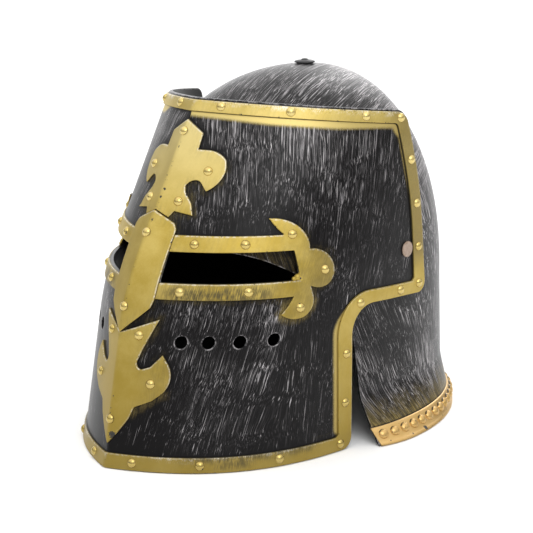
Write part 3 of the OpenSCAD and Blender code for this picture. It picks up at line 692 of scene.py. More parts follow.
# Materials
class Value:
    """A node's output that adds, subtracts and multiplies like a number."""

    def __init__(self, tree, socket):
        self.tree, self.socket = tree, socket

    def __add__(self, other):
        return self.tree.math("ADD", self, other)

    def __radd__(self, other):
        return self.tree.math("ADD", other, self)

    def __sub__(self, other):
        return self.tree.math("SUBTRACT", self, other)

    def __rsub__(self, other):
        return self.tree.math("SUBTRACT", other, self)

    def __mul__(self, other):
        return self.tree.math("MULTIPLY", self, other)

    def max(self, other):
        return self.tree.math("MAXIMUM", self, other)

    def span(self, a, b, to_a=0.0, to_b=1.0, eased=True):
        """The value taken from the range a to b to the range to_a to to_b, and kept within it."""
        node = self.tree.node("ShaderNodeMapRange", self, a, b, to_a, to_b)
        node.interpolation_type = "SMOOTHSTEP" if eased else "LINEAR"
        return Value(self.tree, node.outputs[0])


class Tree:
    """The nodes of a material or a world, written as short calls."""

    def __init__(self, owner):
        owner.use_nodes = True
        self.owner, self.nodes, self.links = owner, owner.node_tree.nodes, owner.node_tree.links

    def put(self, socket, value):
        if isinstance(value, Value):
            self.links.new(value.socket, socket)
        elif socket.type == "RGBA" and len(value) == 3:
            socket.default_value = (*value, 1)
        else:
            socket.default_value = value

    def node(self, kind, *inputs):
        node = self.nodes.new(kind)
        for socket, value in zip(node.inputs, inputs):
            self.put(socket, value)
        return node

    def attr(self, name):
        node = self.node("ShaderNodeAttribute")
        node.attribute_name = name
        return Value(self, node.outputs["Fac"])

    def math(self, op, a, b=0.0):
        node = self.node("ShaderNodeMath", a, b)
        node.operation = op
        return Value(self, node.outputs[0])

    def vector_math(self, op, a, b):
        """A number from two vectors."""
        node = self.node("ShaderNodeVectorMath", a, b)
        node.operation = op
        return Value(self, node.outputs["Value"])

    def vec(self, x, y, z):
        return Value(self, self.node("ShaderNodeCombineXYZ", x, y, z).outputs[0])

    def height(self, v):
        return Value(self, self.node("ShaderNodeSeparateXYZ", v).outputs[2])

    def place(self, kind="Object", scale=1000.0):
        """Object coordinates in millimetres, or other coordinates of the object or the world."""
        node = self.node("ShaderNodeVectorMath", Value(self, self.node("ShaderNodeTexCoord").outputs[kind]))
        node.operation = "SCALE"
        node.inputs["Scale"].default_value = scale
        return Value(self, node.outputs[0])

    def noise(self, v, scale, detail=2.0, rough=0.5):
        node = self.nodes.new("ShaderNodeTexNoise")
        for key, x in (("Vector", v), ("Scale", scale), ("Detail", detail), ("Roughness", rough)):
            self.put(node.inputs[key], x)
        return Value(self, node.outputs["Fac"])

    def flow(self, x, y, z, across, along, shift=0.0, detail=2.0, rough=0.5):
        """Noise with its own scales across and along z."""
        return self.noise(self.vec(x * across, y * across, z * along + shift), 1.0, detail, rough)

    def mix(self, share, a, b):
        node = self.nodes.new("ShaderNodeMix")
        node.data_type = "RGBA"
        for i, value in ((0, share), (6, a), (7, b)):
            self.put(node.inputs[i], value)
        return Value(self, node.outputs[2])

    def bump(self, height, strength, distance):
        node = self.nodes.new("ShaderNodeBump")
        for key, value in (("Strength", strength), ("Distance", distance), ("Height", height)):
            self.put(node.inputs[key], value)
        self.surface(Normal=Value(self, node.outputs[0]))

    def surface(self, **values):
        """Values of the surface shader, by its sockets' names with _ for a space. Gives the material."""
        for key, value in values.items():
            self.put(self.nodes["Principled BSDF"].inputs[key.replace("_", " ")], value)
        return self.owner


def new_material(name):
    return Tree(bpy.data.materials.new(name))


def streaks(t, x, y, z, density, seed, veil):
    """Dry-brushed silver, from 0 to 1: thin broken lines along z, and a veil of fine ones between them."""
    drift = t.flow(x, y, z, 0.02, 0.016, seed)
    shake = t.flow(x, y, z, 0.22, 0.06, seed + 4.0, 1.0)
    move = (drift - 0.5) * 9.0 + (shake - 0.5) * 0.6
    x2, y2 = x + move, y + move
    kinds = ((2.0, 0.015, 3.1), (3.2, 0.038, 5.3), (2.0, 0.30, 7.7), (1.1, 0.04, 9.0))
    thin, fine, dash, strong = (
        t.flow(x2, y2, z, across, along, seed + shift, 2.0, 0.6) for across, along, shift in kinds)
    patch = t.flow(x, y, z, 0.05, 0.03, seed + 1.7, 2.0, 0.6)
    hold = thin * 0.51 + fine * 0.38 + dash * 0.11
    cut = 0.588 - density * 0.092 - (patch - 0.5) * 0.17
    return ((hold - cut).span(0.0, 0.12) * strong.span(0.38, 0.70, 0.16, 0.95)).max(
        fine.span(0.48, 0.68, 0.0, veil) * density)


def black_material(name, domed):
    """Black plastic with silver streaks, bare lips at its edges, and gold overspray beside the straps."""
    t = new_material(name)
    at, x, y, z = t.place(), t.attr("flow_s"), t.attr("flow_y"), t.attr("flow_z")
    over, rub, gap = t.attr("over"), t.attr("rub"), t.attr("gap")
    grain = t.noise(at, 1.7, 3.0, 0.65)
    # silver
    line = streaks(t, x, y, z, rub, 0.0, 0.035 if domed else 0.085)
    if domed:
        top = t.attr("top")
        lengthwise = streaks(t, t.attr("top_s"), 31.0, t.attr("top_z"), rub, 20.0, 0.085)
        line = lengthwise * top + line * (1.0 - top)
    haze = t.flow(x, y, z, 0.12, 0.04, 0.0, 3.0, 0.6).span(0.40, 0.75) * rub
    silver = line.max(haze * (0.018 if domed else 0.012))
    silver = silver.max(t.noise(at, 1.1, 2.0, 0.6).span(0.66, 0.76) * 0.13 * rub)
    # no silver right at the foot of the straps and plates: partly dry brush that misses the corner, partly a
    # painted shadow line
    silver = silver * t.attr("foot").span(0.8, 2.4)
    ragged = t.noise(at, 0.3, 3.0, 0.6) * 0.6 + grain * 0.4
    silver = silver.max(t.attr("edge").span(1.3, 0.1) * ragged.span(0.44, 0.60) * 0.55)
    # gold overspray
    mist = t.noise(at, 0.12, 3.0, 0.6)
    over = over * t.flow(x, y, z, 0.7, 0.06, 0.0, 3.0, 0.6).span(0.34, 0.66, 0.62, 1.22)
    gild = (over + ((mist - 0.5) * 0.34 + (grain - 0.5) * 0.34)).span(0.10, 1.0)
    spray = t.attr("wide") - gap + (grain - 0.5) * 2.4
    gild = gild.max(spray.span(-0.4, 3.0)) * (gap + t.attr("soft")).span(0.3, 0.8)
    # the overspray's colour carries painted light and shade: lighter high up, darker low down and towards
    # the rear
    gilt = t.mix(t.attr("tone"), SPRAY_LOW, SPRAY_HIGH)
    gilt = t.mix(gild.span(0.9, 0.3, 0.0, 0.35), gilt, SPRAY_THIN)
    gilt = t.mix(grain.span(0.3, 0.75, 0.0, 0.35), gilt, SPRAY_BRIGHT)
    solid = gild.span(0.5, 1.0, 0.0, 0.55)
    t.bump(t.noise(at, 0.55, 3.0, 0.6) * 0.6 + line * 0.4, 0.10, 0.0006)
    return t.surface(Base_Color=t.mix(gild, t.mix(silver, BLACK, SILVER), gilt), Specular_IOR_Level=0.13,
                     Roughness=0.31 + silver * 0.14 + solid * 0.25, Metallic=(silver * 0.25).max(solid))


def gold_material(name, base=GOLD, pale=GOLD_PALE, dark=GOLD_DARK, edge_wear_and_highlight=1.0, pits=0.0, brushed=0.0,
                  gloss=0.0, sink=1.0, painted_top_light=0.5, dust_and_shade=0.0, chipped=False, scuffs_and_glints=False, spots=()):
    """Gold paint, with painted shade towards the foot and painted light towards the top, rubbed bare along
    its upper edges where a painted highlight also lies, with pits, chips and marks.
    """
    t = new_material(name)
    at, edge, s, z = t.place(), t.attr("edge"), t.attr("flow_s"), t.attr("flow_z")
    mist = t.noise(at, 0.035, 4.0, 0.6)
    fine = t.noise(at, 0.9, 3.0, 0.6)
    colour = t.mix((mist + fine * 0.2).span(0.40, 0.84), t.mix(0.30, base, dark), t.mix(0.30, base, pale))
    # painted light towards the top and painted shade towards the foot, both scaled by sink
    colour = t.mix(t.height(at).span(170.0, 240.0, 0.0, painted_top_light * sink, False), colour, pale)
    colour = t.mix(t.height(at).span(190.0, 10.0, 0.0, 0.66 * sink, False), colour, dark)
    if dust_and_shade:
        dust = edge.span(8.0, 0.6) * t.noise(t.vec(s * 0.5, z * 0.10, 6.0), 1.0, 4.0, 0.6).span(0.36, 0.70)
        colour = t.mix(dust * dust_and_shade, colour, DUST)
        # painted shade: the upper rear strap, the frame's rear end, the far side of the keel and the lowest
        # parts are darkened
        colour = t.mix(t.attr("dull") * fine.span(0.2, 0.8, 0.75, 1.0), colour, PAINTED_SHADE_GOLD)
    if edge_wear_and_highlight:
        # pale upper edges: partly wear, partly a painted highlight on the edges that face the light
        ragged = t.noise(at, 0.35, 3.0, 0.65) * 0.6 + fine * 0.4
        rub = edge.span(1.4, 0.2) * ragged.span(0.40, 0.60) * (
            edge.span(-0.35, -0.05) * t.attr("up").span(-0.25, 0.55))
        colour = t.mix(rub * (0.62 * edge_wear_and_highlight), colour, BARE_EDGE_AND_HIGHLIGHT)
    foot = edge.span(-0.3, -1.0)
    if scuffs_and_glints:
        scuff = t.attr("scuff")
        fleck = t.noise(t.vec(s * 1.7, z * 0.6, 3.0), 1.0, 3.0, 0.65) * 0.6 + t.noise(at, 0.12) * 0.4
        # pale flecks: partly scuffs, partly painted glints on the straps' upper parts; the dark flecks are
        # scuffs
        colour = t.mix(fleck.span(0.50, 0.60, 0.0, 0.75) * scuff, colour, PALE_SCUFF_AND_GLINT)
        colour = t.mix(fleck.span(0.45, 0.36, 0.0, 0.9) * scuff, colour, SCUFF_DARK)
        foot = foot * (1.0 - t.attr("soft") * 0.8)
    colour = t.mix(foot * 0.9, colour, FOOT_LINE)
    pit = t.noise(at, 0.33, 1.0, 0.4).span(0.285, 0.25) * pits
    if chipped:
        # chips lie along the edges and on the keel
        near = edge.span(0.9, 0.2).max(t.math("ABSOLUTE", s).span(1.5, 0.8))
        pit = pit.max(near * t.noise(at, 0.42, 2.0, 0.5).span(0.665, 0.69))
    for *centre, r in spots:
        far = t.vector_math("DISTANCE", at, centre) + (t.noise(at, 0.9, 2.0, 0.6) - 0.5) * (2.4 * r)
        pit = pit.max(far.span(r + 0.25, r - 0.25))
    colour = t.mix(pit, colour, CHIPPED)
    if brushed:
        marks = t.noise(t.vec(s * 1.4, z * 0.16, 2.0), 1.0, 3.0, 0.6) * 0.62 + t.noise(at, 0.16) * 0.38
        colour = t.mix(marks.span(0.36, 0.60) * t.attr("shade") * brushed, colour, BRUSH_DARK)
    t.bump(fine * 0.7 + t.noise(at, 3.1) * 0.3, 0.12, 0.0004)
    return t.surface(Base_Color=colour, Roughness=mist.span(0.3, 0.7, 0.40 - gloss, 0.50 - gloss),
                     Metallic=(1.0 - foot.max(pit)) * (0.55 + gloss))


def plain_material(name, colour, other, rough=0.42):
    """Moulded plastic: mottled, a little worn at its edges."""
    t = new_material(name)
    broad, fine = t.noise(t.place(), 0.3, 4.0, 0.6), t.noise(t.place(), 1.8, 3.0, 0.6)
    mottle = broad * 0.6 + fine * 0.4
    t.bump(mottle, 0.15, 0.0005)
    body = t.mix(mottle.span(0.35, 0.65), colour, other)
    return t.surface(Base_Color=t.mix(t.attr("edge").span(1.2, 0.2) * 0.5, body, other),
                     Roughness=broad.span(0.3, 0.7, rough - 0.05, rough + 0.08))


def fabric_material(name):
    """Dark cloth with a plain weave, darker in the seams."""
    t = new_material(name)
    a, b = (t.math("SINE", t.attr(key) * 3.6) for key in ("flow_s", "flow_z"))
    weave = (a * b).max(a * -1.0 * b)
    fuzz = t.noise(t.place(), 0.8, 4.0, 0.65)
    colour = t.mix((weave * 0.3 + fuzz * 0.7).span(0.3, 0.8), (0.018, 0.018, 0.021), (0.055, 0.054, 0.06))
    colour = t.mix(t.attr("seam").span(0.0, 1.6), (0.012, 0.012, 0.014), colour)
    t.bump(weave * 0.5 + fuzz * 0.5, 0.5, 0.0005)
    return t.surface(Base_Color=colour, Roughness=0.88, Sheen_Weight=0.35, Sheen_Roughness=0.45)


# chips as place and radius: on the fleurs by (s, z), and on the neck band by (angle, z)
FLEUR_CHIPS = [(*visor(s, z, STRAP_T)[0], r) for s, z, r in (
    (1.6, 190.0, 1.0), (0.8, 185.0, 0.9), (1.0, 170.0, 1.1), (3.1, 23.6, 2.3))]
BAND_CHIPS = [(*skull(0.122, 1.9, BAND_T)[0], 1.7)]
VISOR_BLACK, SKULL_BLACK = black_material("visor_black", False), black_material("skull_black", True)
STRAP_GOLD = gold_material("strap_gold", brushed=0.95, dust_and_shade=0.22, painted_top_light=0.75, chipped=True,
                           spots=FLEUR_CHIPS)
RIM_GOLD = gold_material("rim_gold", brushed=0.9, dust_and_shade=0.14, painted_top_light=0.2, chipped=True, edge_wear_and_highlight=0.5,
                         scuffs_and_glints=True)
RIVET_GOLD = gold_material("rivet_gold", base=(0.66, 0.50, 0.16), edge_wear_and_highlight=0.0, pits=1.0, gloss=0.2, sink=0.5)
BAND_GOLD = gold_material("band_gold", base=(0.67, 0.43, 0.145), pale=(0.76, 0.55, 0.28),
                          dark=(0.37, 0.225, 0.068), edge_wear_and_highlight=0.6, sink=0.2, pits=0.9, gloss=0.1,
                          spots=BAND_CHIPS)
PIVOT_TAN = plain_material("pivot_tan", (0.24, 0.165, 0.115), (0.36, 0.27, 0.21))
DARK_PLASTIC = plain_material("dark_plastic", (0.016, 0.016, 0.017), (0.035, 0.034, 0.036))
LINING_CLOTH = fabric_material("lining_cloth")


# Straps, frames, nose bar and fleurs
SIDES = (("left", False), ("right", True))


def tint(shape, **rules):
    """Values from 0 to 1 at each vertex, from its distance round the visor and its height."""
    s, z = np.abs(shape.values["flow_s"]), shape.values["flow_z"]
    for key, rule in rules.items():
        shape.values[key] = np.clip(rule(s, z), 0, 1)


def surface_frame(s, z, d):
    """A point on the visor and its normal, on the keel the one between both halves."""
    p, n, _, _ = visor(s, z, d)
    return p, n if abs(s) > 1e-6 else unit(np.array([0, -1.0, float(keel_slope(z))]))


def rim_scuffs_and_glints(s, z):
    """Scuffs on the upper half of the top strap and on the bottom strap; their pale flecks are partly
    painted glints.
    """
    below_top = top_edge(visor(s, z, 0.0)[0][:, 1]) - z
    upper = smooth(below_top, 5.2, 1.8) * smooth(s, 6, 24) * smooth(z, 130, 150)
    return upper + 0.9 * smooth(z, 7.6, 9.8) * smooth(z, 18, 15) * smooth(s, 24, 50) * smooth(s, 162, 148)


rim = relief(rim_loop, STRAP_T, 0.55, 3.0, (1.1, 2.2), halved=True)
# the rim gets painted shade on the upper part of the rear strap and faintly along the bottom
tint(rim, scuff=rim_scuffs_and_glints,
     shade=lambda s, z: smooth(z, 18, 15) * smooth(s, 162, 148) * (
         0.85 * smooth(z, 4.0, 8.5) * smooth(s, 46, 66) + smooth(np.abs(s - 92), 17, 8) * smooth(z, 0.5, 5)),
     dull=lambda s, z: 0.74 * smooth(s, 140, 172) * smooth(z, 112, 136) + 0.10 * smooth(z, 16, 10),
     soft=lambda s, z: smooth(s, 138, 148) * smooth(z, 9, 15) * smooth(z, 122, 104))
sight = relief(sight_loop, STRAP_T, 0.55, 2.8)
# lumps of paint in the slot's lower rear corner, by place, diameter and height
for side, up, d, h in (
        (-1.6, 1.9, 5.0, 1.6), (-4.4, 1.0, 3.4, 1.3), (0.8, 4.2, 3.0, 1.2), (0.6, 0.8, 4.4, 1.7)):
    z = SLOT_LOW + up
    rings = [(d / 2, -0.5, 90), (d / 2, h * 0.2, 75), (d * 0.4, h * 0.7, 45), (d * 0.2, h * 0.95, 20),
             (0, h, 0)]
    spun(sight, rings, *surface_frame(float(s_at_y(SLOT_END, z)) + side, z, 0.3), sides=12)
# the sight frame gets painted shade towards its rear end and faintly below its lower bar
tint(sight,
     shade=lambda s, z: smooth(z, SLOT_LOW + 1, SLOT_LOW - 3) * smooth(np.abs(s - 64), 50, 26) + (
         0.35 * smooth(z, SLOT_TOP + 30, SLOT_TOP + 16) * smooth(s, 108, 124)),
     dull=lambda s, z: 0.52 * smooth(s, 120, 140) * smooth(np.abs(z - SLOT_Z), 40, 10) + (
         0.08 * smooth(z, SLOT_LOW, SLOT_LOW - 14)))
for kind, shape, material in (("rim_strap", rim, RIM_GOLD), ("sight_frame", sight, STRAP_GOLD)):
    for hand, flipped in SIDES:
        node = f"{kind}_{hand}"
        piece(shape, node + "_plate", material, "visor", node, flipped)
for node, loop, thick in (("nose_bar", nose_loop, NOSE_T), ("upper_fleur", upper_loop, STRAP_T),
                          ("lower_fleur", lower_loop, STRAP_T)):
    shape = relief(loop, thick, 0.6, 2.8, KEEL_COLUMNS)
    tint(shape, shade=lambda s, z: 0.30 * smooth(s, 12, 34) * smooth(z, 120, 60))
    # painted shade on the half beyond the keel, the -X one
    shape.values["dull"] = 0.14 * smooth(shape.values["flow_s"], 0.5, -2.5)
    piece(shape, node + "_plate", STRAP_GOLD, "visor", node)


# Visor shell
def breath_hole(x):
    """A round hole in the front view, on the lean of the surface."""
    t = np.linspace(0, 2 * math.pi, 33)[:-1]
    r, lean = BREATH_D / 2, 1 / math.hypot(1, float(keel_slope(BREATH_Z)))
    return np.stack([float(s_at_x(x)) + r * np.cos(t), BREATH_Z + r * lean * np.sin(t)], 1)


def slot_loop():
    a = float(s_at_x(NOSE_X + STRAP_GAP))
    return resample(rounded_loop(np.vstack([[a, SLOT_LOW], slot_rear(), [a, SLOT_TOP]])), 1.2)


outer_loop = both_halves(resample(from_top(side_path(visor_edge())), 1.5, closed=False))
holes = [lp * [side, 1] for lp in [slot_loop()] + [breath_hole(x) for x in BREATH_X] for side in (1, -1)]
front = shell([outer_loop] + holes, VISOR_WALL, 2.8, visor_place, KEEL_COLUMNS)
front_s, z = front.values["flow_s"], front.values["flow_z"]
s = np.abs(front_s)
at = np.stack([s, z], 1)
to_rim, to_sight, to_nose, to_upper, to_lower, to_edge = (nearest(at, densify(lp, 0.4))[1] for lp in (
    rim_loop, sight_loop, nose_loop, upper_loop, lower_loop, outer_loop))
foot = np.minimum.reduce([to_rim, to_sight, to_nose, to_upper, to_lower])
top_z = top_edge(keel(VISOR_H))


def reach(width, mask):
    """The overspray's width beside the rim strap, drawn in under it where the mask fades."""
    return np.where(mask > 0, width * mask - 3.0 * (1 - mask), -9.0)


top_width = np.interp(s, [0, 30, 60, 110, 150], [4.6, 5.4, 6.6, 6.6, 4.6])
top_width *= np.where(front_s < 0, smooth(s, 35, 60), 1)
wide = np.maximum.reduce([
    reach(top_width, smooth(z, top_z - 40, top_z - 26)),
    reach(2.0, smooth(s, 145, 158) * smooth(z, 130, 200)),
    reach(4.6, smooth(s, 140, 152) * smooth(z, 8, 16) * smooth(z, 118, 88))])
soft = smooth(s, 140, 152) * smooth(z, 9, 15) * smooth(z, 122, 104)
# overspray in patches beside the sight frames, fleurs and nose bar
over = np.maximum.reduce([
    0.20 * smooth(to_sight, 10, 0) * smooth(s, 96, 110),
    0.42 * smooth(to_sight, 9, 0) * smooth(z, SLOT_LOW - 8, SLOT_LOW - 16) * smooth(s, 92, 104),
    0.26 * smooth(to_sight, 8, 0) * smooth(z, SLOT_LOW, SLOT_LOW - 6),
    0.36 * smooth(to_lower, 10, 0) * smooth(z, 64, 52) * smooth(z, 28, 40),
    0.27 * smooth(to_lower, 8, 0) * smooth(z, 70, 82) * smooth(s, 10, 18),
    0.24 * smooth(to_upper, 9, 0) * smooth(z, top_z - 34, top_z - 50),
    0.20 * smooth(to_nose, 8, 0)])
wide[to_edge < 4.5], over[to_edge < 4.5] = -9, 0
# painted shade darkens the overspray low down, towards the rear and at the upper rear, and painted light
# brightens it high up; it is lighter where it lies thick by the cheek strap
tone = smooth(z, 20, 240) * (1 - 0.3 * smooth(s, 80, 140)) * (
    1 - 0.55 * smooth(s, 145, 165) * smooth(z, 110, 130)) + 0.30 * soft
# silver: more near the top and round the breath holes, less beside the keel and above the sights
rub = 0.36 + 0.46 * smooth(z, 165, 230) * smooth(np.abs(s - 78), 104, 30) + 0.26 * smooth(z, 140, 190)
rub += 0.50 * smooth(z, 88, 112) * smooth(z, 130, 122) * smooth(s, 20, 40) * smooth(s, 130, 90)
rub += 0.22 * smooth(z, 6, 30) * smooth(z, 100, 75) * smooth(s, 30, 55) * smooth(s, 112, 84)
rub -= 0.36 * smooth(z, 75, 40) * smooth(s, 64, 36)
rub += 0.45 * smooth(np.abs(s - 108), 12, 3) * smooth(np.abs(z - 88), 40, 15)
rub -= 0.25 * smooth(np.abs(z - (FRAME_TOP + 10)), 18, 6) * smooth(s, 40, 55) * smooth(s, 112, 98)
rub = np.maximum(rub, 0.0) * (0.45 + 0.55 * smooth(foot, 1.0, 6.0))
gap = np.where(inside(at, [rim_loop]), -to_rim, to_rim)
front.paint(tone=np.clip(tone, 0, 1), soft=soft, gap=gap, wide=wide, foot=foot, over=over, rub=rub)
# the streaks lean with the surface above the bend, and fan out towards the cheeks below it
level = np.linspace(0, 260, 261)
turned = np.interp(level, [90, 120, 160, 190, 260], [0, -0.10, -0.26, -0.34, -0.36])
turned = np.append(0, np.cumsum(turned)[:-1])
fan = (0.22 * smooth(s, 140, 95) - 0.05) * np.maximum(0, 125 - z)
front.values["flow_s"] = s - np.interp(z, level, turned) + fan
front.values["flow_y"] = np.where(front_s < 0, 60.0, 0.0)
piece(front, "visor_shell_skin", VISOR_BLACK, "visor", "visor_shell")


# Rivets on the visor
def rivets(node, spots, top, flipped=False):
    shape = Shape()
    for s, z in spots:
        spun(shape, dome_rings(RIVET_D, RIVET_H), *surface_frame(s, z, top))
    piece(shape, node + "_heads", RIVET_GOLD, "visor", node, flipped)


def rim_top_z(x):
    """The middle of the top strap at x."""
    return top_edge(float(visor(s_at_x(x), VISOR_H - RIM_W, 0.0)[0][1])) - TOP_MID


def rear_mid(z):
    """The middle of the rear strap at z, as depth."""
    return float(np.interp(z, [FLANK_Z, PIVOT_Z + 34, VISOR_H], [
        REAR + 1 - RIM_SIDE_W * 0.54, REAR - 5 - RIM_SIDE_W * 0.48, REAR - 20 - RIM_SIDE_W * 0.34]))


def by_x(spots):
    return [(float(s_at_x(x)), z) for x, z in spots]


def by_y(spots):
    return [(float(s_at_y(y, z)), z) for y, z in spots]


def both_sides(spots):
    return [(side * s, z) for s, z in spots for side in ((1, -1) if s > 0 else (1,))]


rim_spots = by_x([(x, rim_top_z(x)) for x in (19.5, 61.5, 93.5)] + [(x, RIM_W / 2) for x in (18.6, 59, 92)])
rim_spots += by_y([(REAR - 24, top_edge(REAR - 24) - TOP_MID - 0.6)])
rim_spots += by_y([(rear_mid(PIVOT_Z + up), PIVOT_Z + up) for up in (66, 33, 0)])
rim_spots += by_y([
    (REAR - 1 - RIM_SIDE_W / 2, FLANK_Z + RIM_W / 2 + 1.5), (REAR - 30, FLANK_Z + RIM_W / 2 + 0.5),
    (CHEEK + 11, FLANK_Z + RIM_W / 2 - 0.5), (CHEEK + 2.5 - RIM_SIDE_W / 2, 71),
    (CHEEK - RIM_SIDE_W / 2, 35), (CHEEK + 0.5 - RIM_SIDE_W, RIM_W / 2)])
bar = (SLOT_H + FRAME_W) / 2
frame_spots = by_x([(33.6, SLOT_Z + bar), (62, SLOT_Z + bar), (33.6, SLOT_Z - bar), (70.5, SLOT_Z - bar)])
frame_spots += by_y([
    (SLOT_END + 1.5, SLOT_TOP + 11), (SLOT_END + 18.5, SLOT_Z - 5), (SLOT_END - 3, SLOT_LOW - 19)])
for hand, flipped in SIDES:
    rivets("rim_rivets_" + hand, rim_spots, STRAP_T, flipped)
    rivets("sight_frame_rivets_" + hand, frame_spots, STRAP_T, flipped)
rivets("nose_bar_rivets", [(0, FRAME_TOP + 1), (0, FRAME_LOW - 6)], NOSE_T)
rivets("upper_fleur_rivets", both_sides(by_x(
    [(x, UPPER_FOOT + y * UPPER_H) for x, y in ((0, 0.87), (26, 0.44), (13.5, 0.1))])), STRAP_T)
rivets("lower_fleur_rivets", both_sides(by_x(
    [(x, LOWER_FOOT + y * LOWER_H) for x, y in ((0, 0.22), (13, 0.985), (24.5, 0.56))])), STRAP_T)


# Skull shell, spread out flat by its angle and the way down from the crown
def face_opening(w=0.0):
    """The face opening in the side view, w narrower at the cheeks."""
    y = CHEEK + w
    return rounded([
        [-FAR, BROW_Z], [-BROW_Y, BROW_Z], [y + 6, FLANK_Z + 6], [y + 16, 32], [y + 13, -1], [-FAR, -1],
    ], [0, 60, 15, 60, 0, 0])


def spread(a, v):
    return np.stack([v * np.cos(a), v * np.sin(a)], -1)


def opening_edge():
    """The opening's edge on the +X side, from the middle of the brow down to the foot."""
    rows = []
    for y, z in densify(face_opening(), 0.8, closed=False):
        a = skull_angle(y, z) if 0 <= z <= SKULL_H else None
        if a is not None:
            rows.append((a, z))
    if rows[0][1] < rows[-1][1]:
        rows = rows[::-1]
    a, z = np.array([(-math.pi / 2, BROW_Z)] + rows + [(rows[-1][0], 0.0)]).T
    return a[-1], resample(spread(a, skull_v(z)), 2.2, closed=False)


def on_skull(uv, d):
    """Point, normal and height at a place of the spread skull."""
    z = np.maximum(skull_z(np.minimum(np.hypot(uv[:, 0], uv[:, 1]), FOOT_V)), 0)
    return *skull(np.arctan2(uv[:, 1], uv[:, 0]), z, d), z


def skull_place(loop, inner, ways):
    """As visor_place, on the spread skull."""
    out = unit(on_skull(loop, 0.0)[0] - on_skull(inner, 0.0)[0])

    def place(uv, d):
        return *on_skull(uv, d)[:2], out
    return place


foot_a, open_edge = opening_edge()
foot_line = spread(np.linspace(foot_a, math.pi / 2, 130), np.full(130, FOOT_V))
dome = shell([both_halves(np.vstack([open_edge, foot_line[1:]]))], SKULL_WALL, 3.4, skull_place)
uv = np.stack([dome.values["flow_s"], dome.values["flow_z"]], 1)
z, y, up = on_skull(uv, 0.0)[2], dome.points[:, 1], unit(dome.normals)[:, 2]
angle = np.arctan2(uv[:, 1], uv[:, 0])
from_side = np.where(uv[:, 0] >= 0, angle, np.where(angle > 0, math.pi - angle, -math.pi - angle))
half = np.where(uv[:, 0] >= 0, 1.0, -1.0)
to_face = nearest(uv * np.stack([half, np.ones(len(uv))], 1), open_edge)[1]
near_face = smooth(to_face, 34, 6) * smooth(y, 0, -45) * smooth(z, 105, 125)
dust = np.maximum(0.42 * smooth(z, 42, 12) + 0.06 * smooth(z, 18, 12), 0.26 * near_face)
# silver: more on the top and rear of the dome and above the flare, less beside the face
worn = 0.66 + 0.36 * smooth(z, 150, 215) + 0.42 * smooth(z, 140, 190) * smooth(y, 10, 95) + 0.46 * smooth(
    from_side, 0.0, 0.9) * smooth(z, 20, 70)
worn = (worn + 0.34 * smooth(z, 70, 36) * smooth(z, 14, 26)) * (1 - 0.85 * near_face)
dome.paint(tone=0.12, soft=0.0, gap=z - BAND_H, wide=-9.0, foot=np.clip(z - BAND_H + 0.2, 0, 9.0), over=dust,
           rub=worn)
# on the dome the streaks run from front to back, lower down upright, fanned out towards the front
way = unit(np.array([-0.23, 0.93, 0.27]))
rise = unit(np.array([0, 0, 1.0]) - way * way[2])
rel = dome.points - np.array([0, SKULL_Y, 150.0])
dome.values["top_s"] = 105 * np.arctan2(rel @ -np.cross(way, rise), rel @ rise)
dome.values["top_z"] = rel @ way * 0.62
# they would meet in a star at the rear, so they give way to the upright ones before that
dome.values["top"] = smooth(up, 0.12, 0.42) * smooth(z, 110, 150) * smooth(unit(rel) @ way, 0.84, 0.60)
fanned = angle + half * 0.40 * smooth(from_side, 0.75, -0.3) * z / DOME_R
dome.values["flow_s"], dome.values["flow_y"] = DOME_R * np.cos(fanned), DOME_R * np.sin(fanned)
dome.values["flow_z"] = z
piece(dome, "skull_shell_skin", SKULL_BLACK, "skull", "skull_shell")


# Neck band
def band_end():
    """The angle at which the band starts, beside the face opening."""
    pts = densify(face_opening(1.0), 0.5, closed=False)
    pts = pts[(pts[:, 1] >= -0.9) & (pts[:, 1] < 30)]
    pts = pts[np.argsort(pts[:, 1])]
    return skull_angle(np.interp(2.0, pts[:, 1], pts[:, 0]), 2.0)


def neck_band(a):
    """The band's section, swept along the angles: height, offset, the normal's tilt, below 0 for down."""
    shape = Shape()
    rows = []
    for z, d, tilt in (
            (0, -0.2, -90), (0, 0.6, -60), (0.35, 1.25, -20), (1.3, 1.5, 0), (2.1, 1.25, 30),
            (2.6, BAND_T, 10), (4, BAND_T, 0), (8, BAND_T, 0),
            (BAND_H - 0.5, BAND_T, 15), (BAND_H - 0.1, BAND_T - 0.3, 60), (BAND_H, -0.2, 88)):
        p, n = skull(a, np.full(len(a), z), d)
        t = math.radians(tilt)
        edge = -1.0 if z == BAND_H else 2.0 if tilt == 0 else 0.8
        n = n * math.cos(t) + [0, 0, math.sin(t)]
        rows.append(shape.add(p, n, edge=edge, flow_s=a * DOME_R, flow_z=z))
    shape.skin(rows, closed=False)
    for end, inner in ((0, 1), (-1, -2)):
        section = shape.points[[row[end] for row in rows]]
        way = unit(section[4] - shape.points[rows[4][inner]])
        row = shape.add(section, np.repeat([way], len(section), 0), edge=0.5)
        shape.fan(row, shape.add([skull(a[end], 6.0, -0.2)[0]], [way], edge=0.5), closed=False)
    return shape


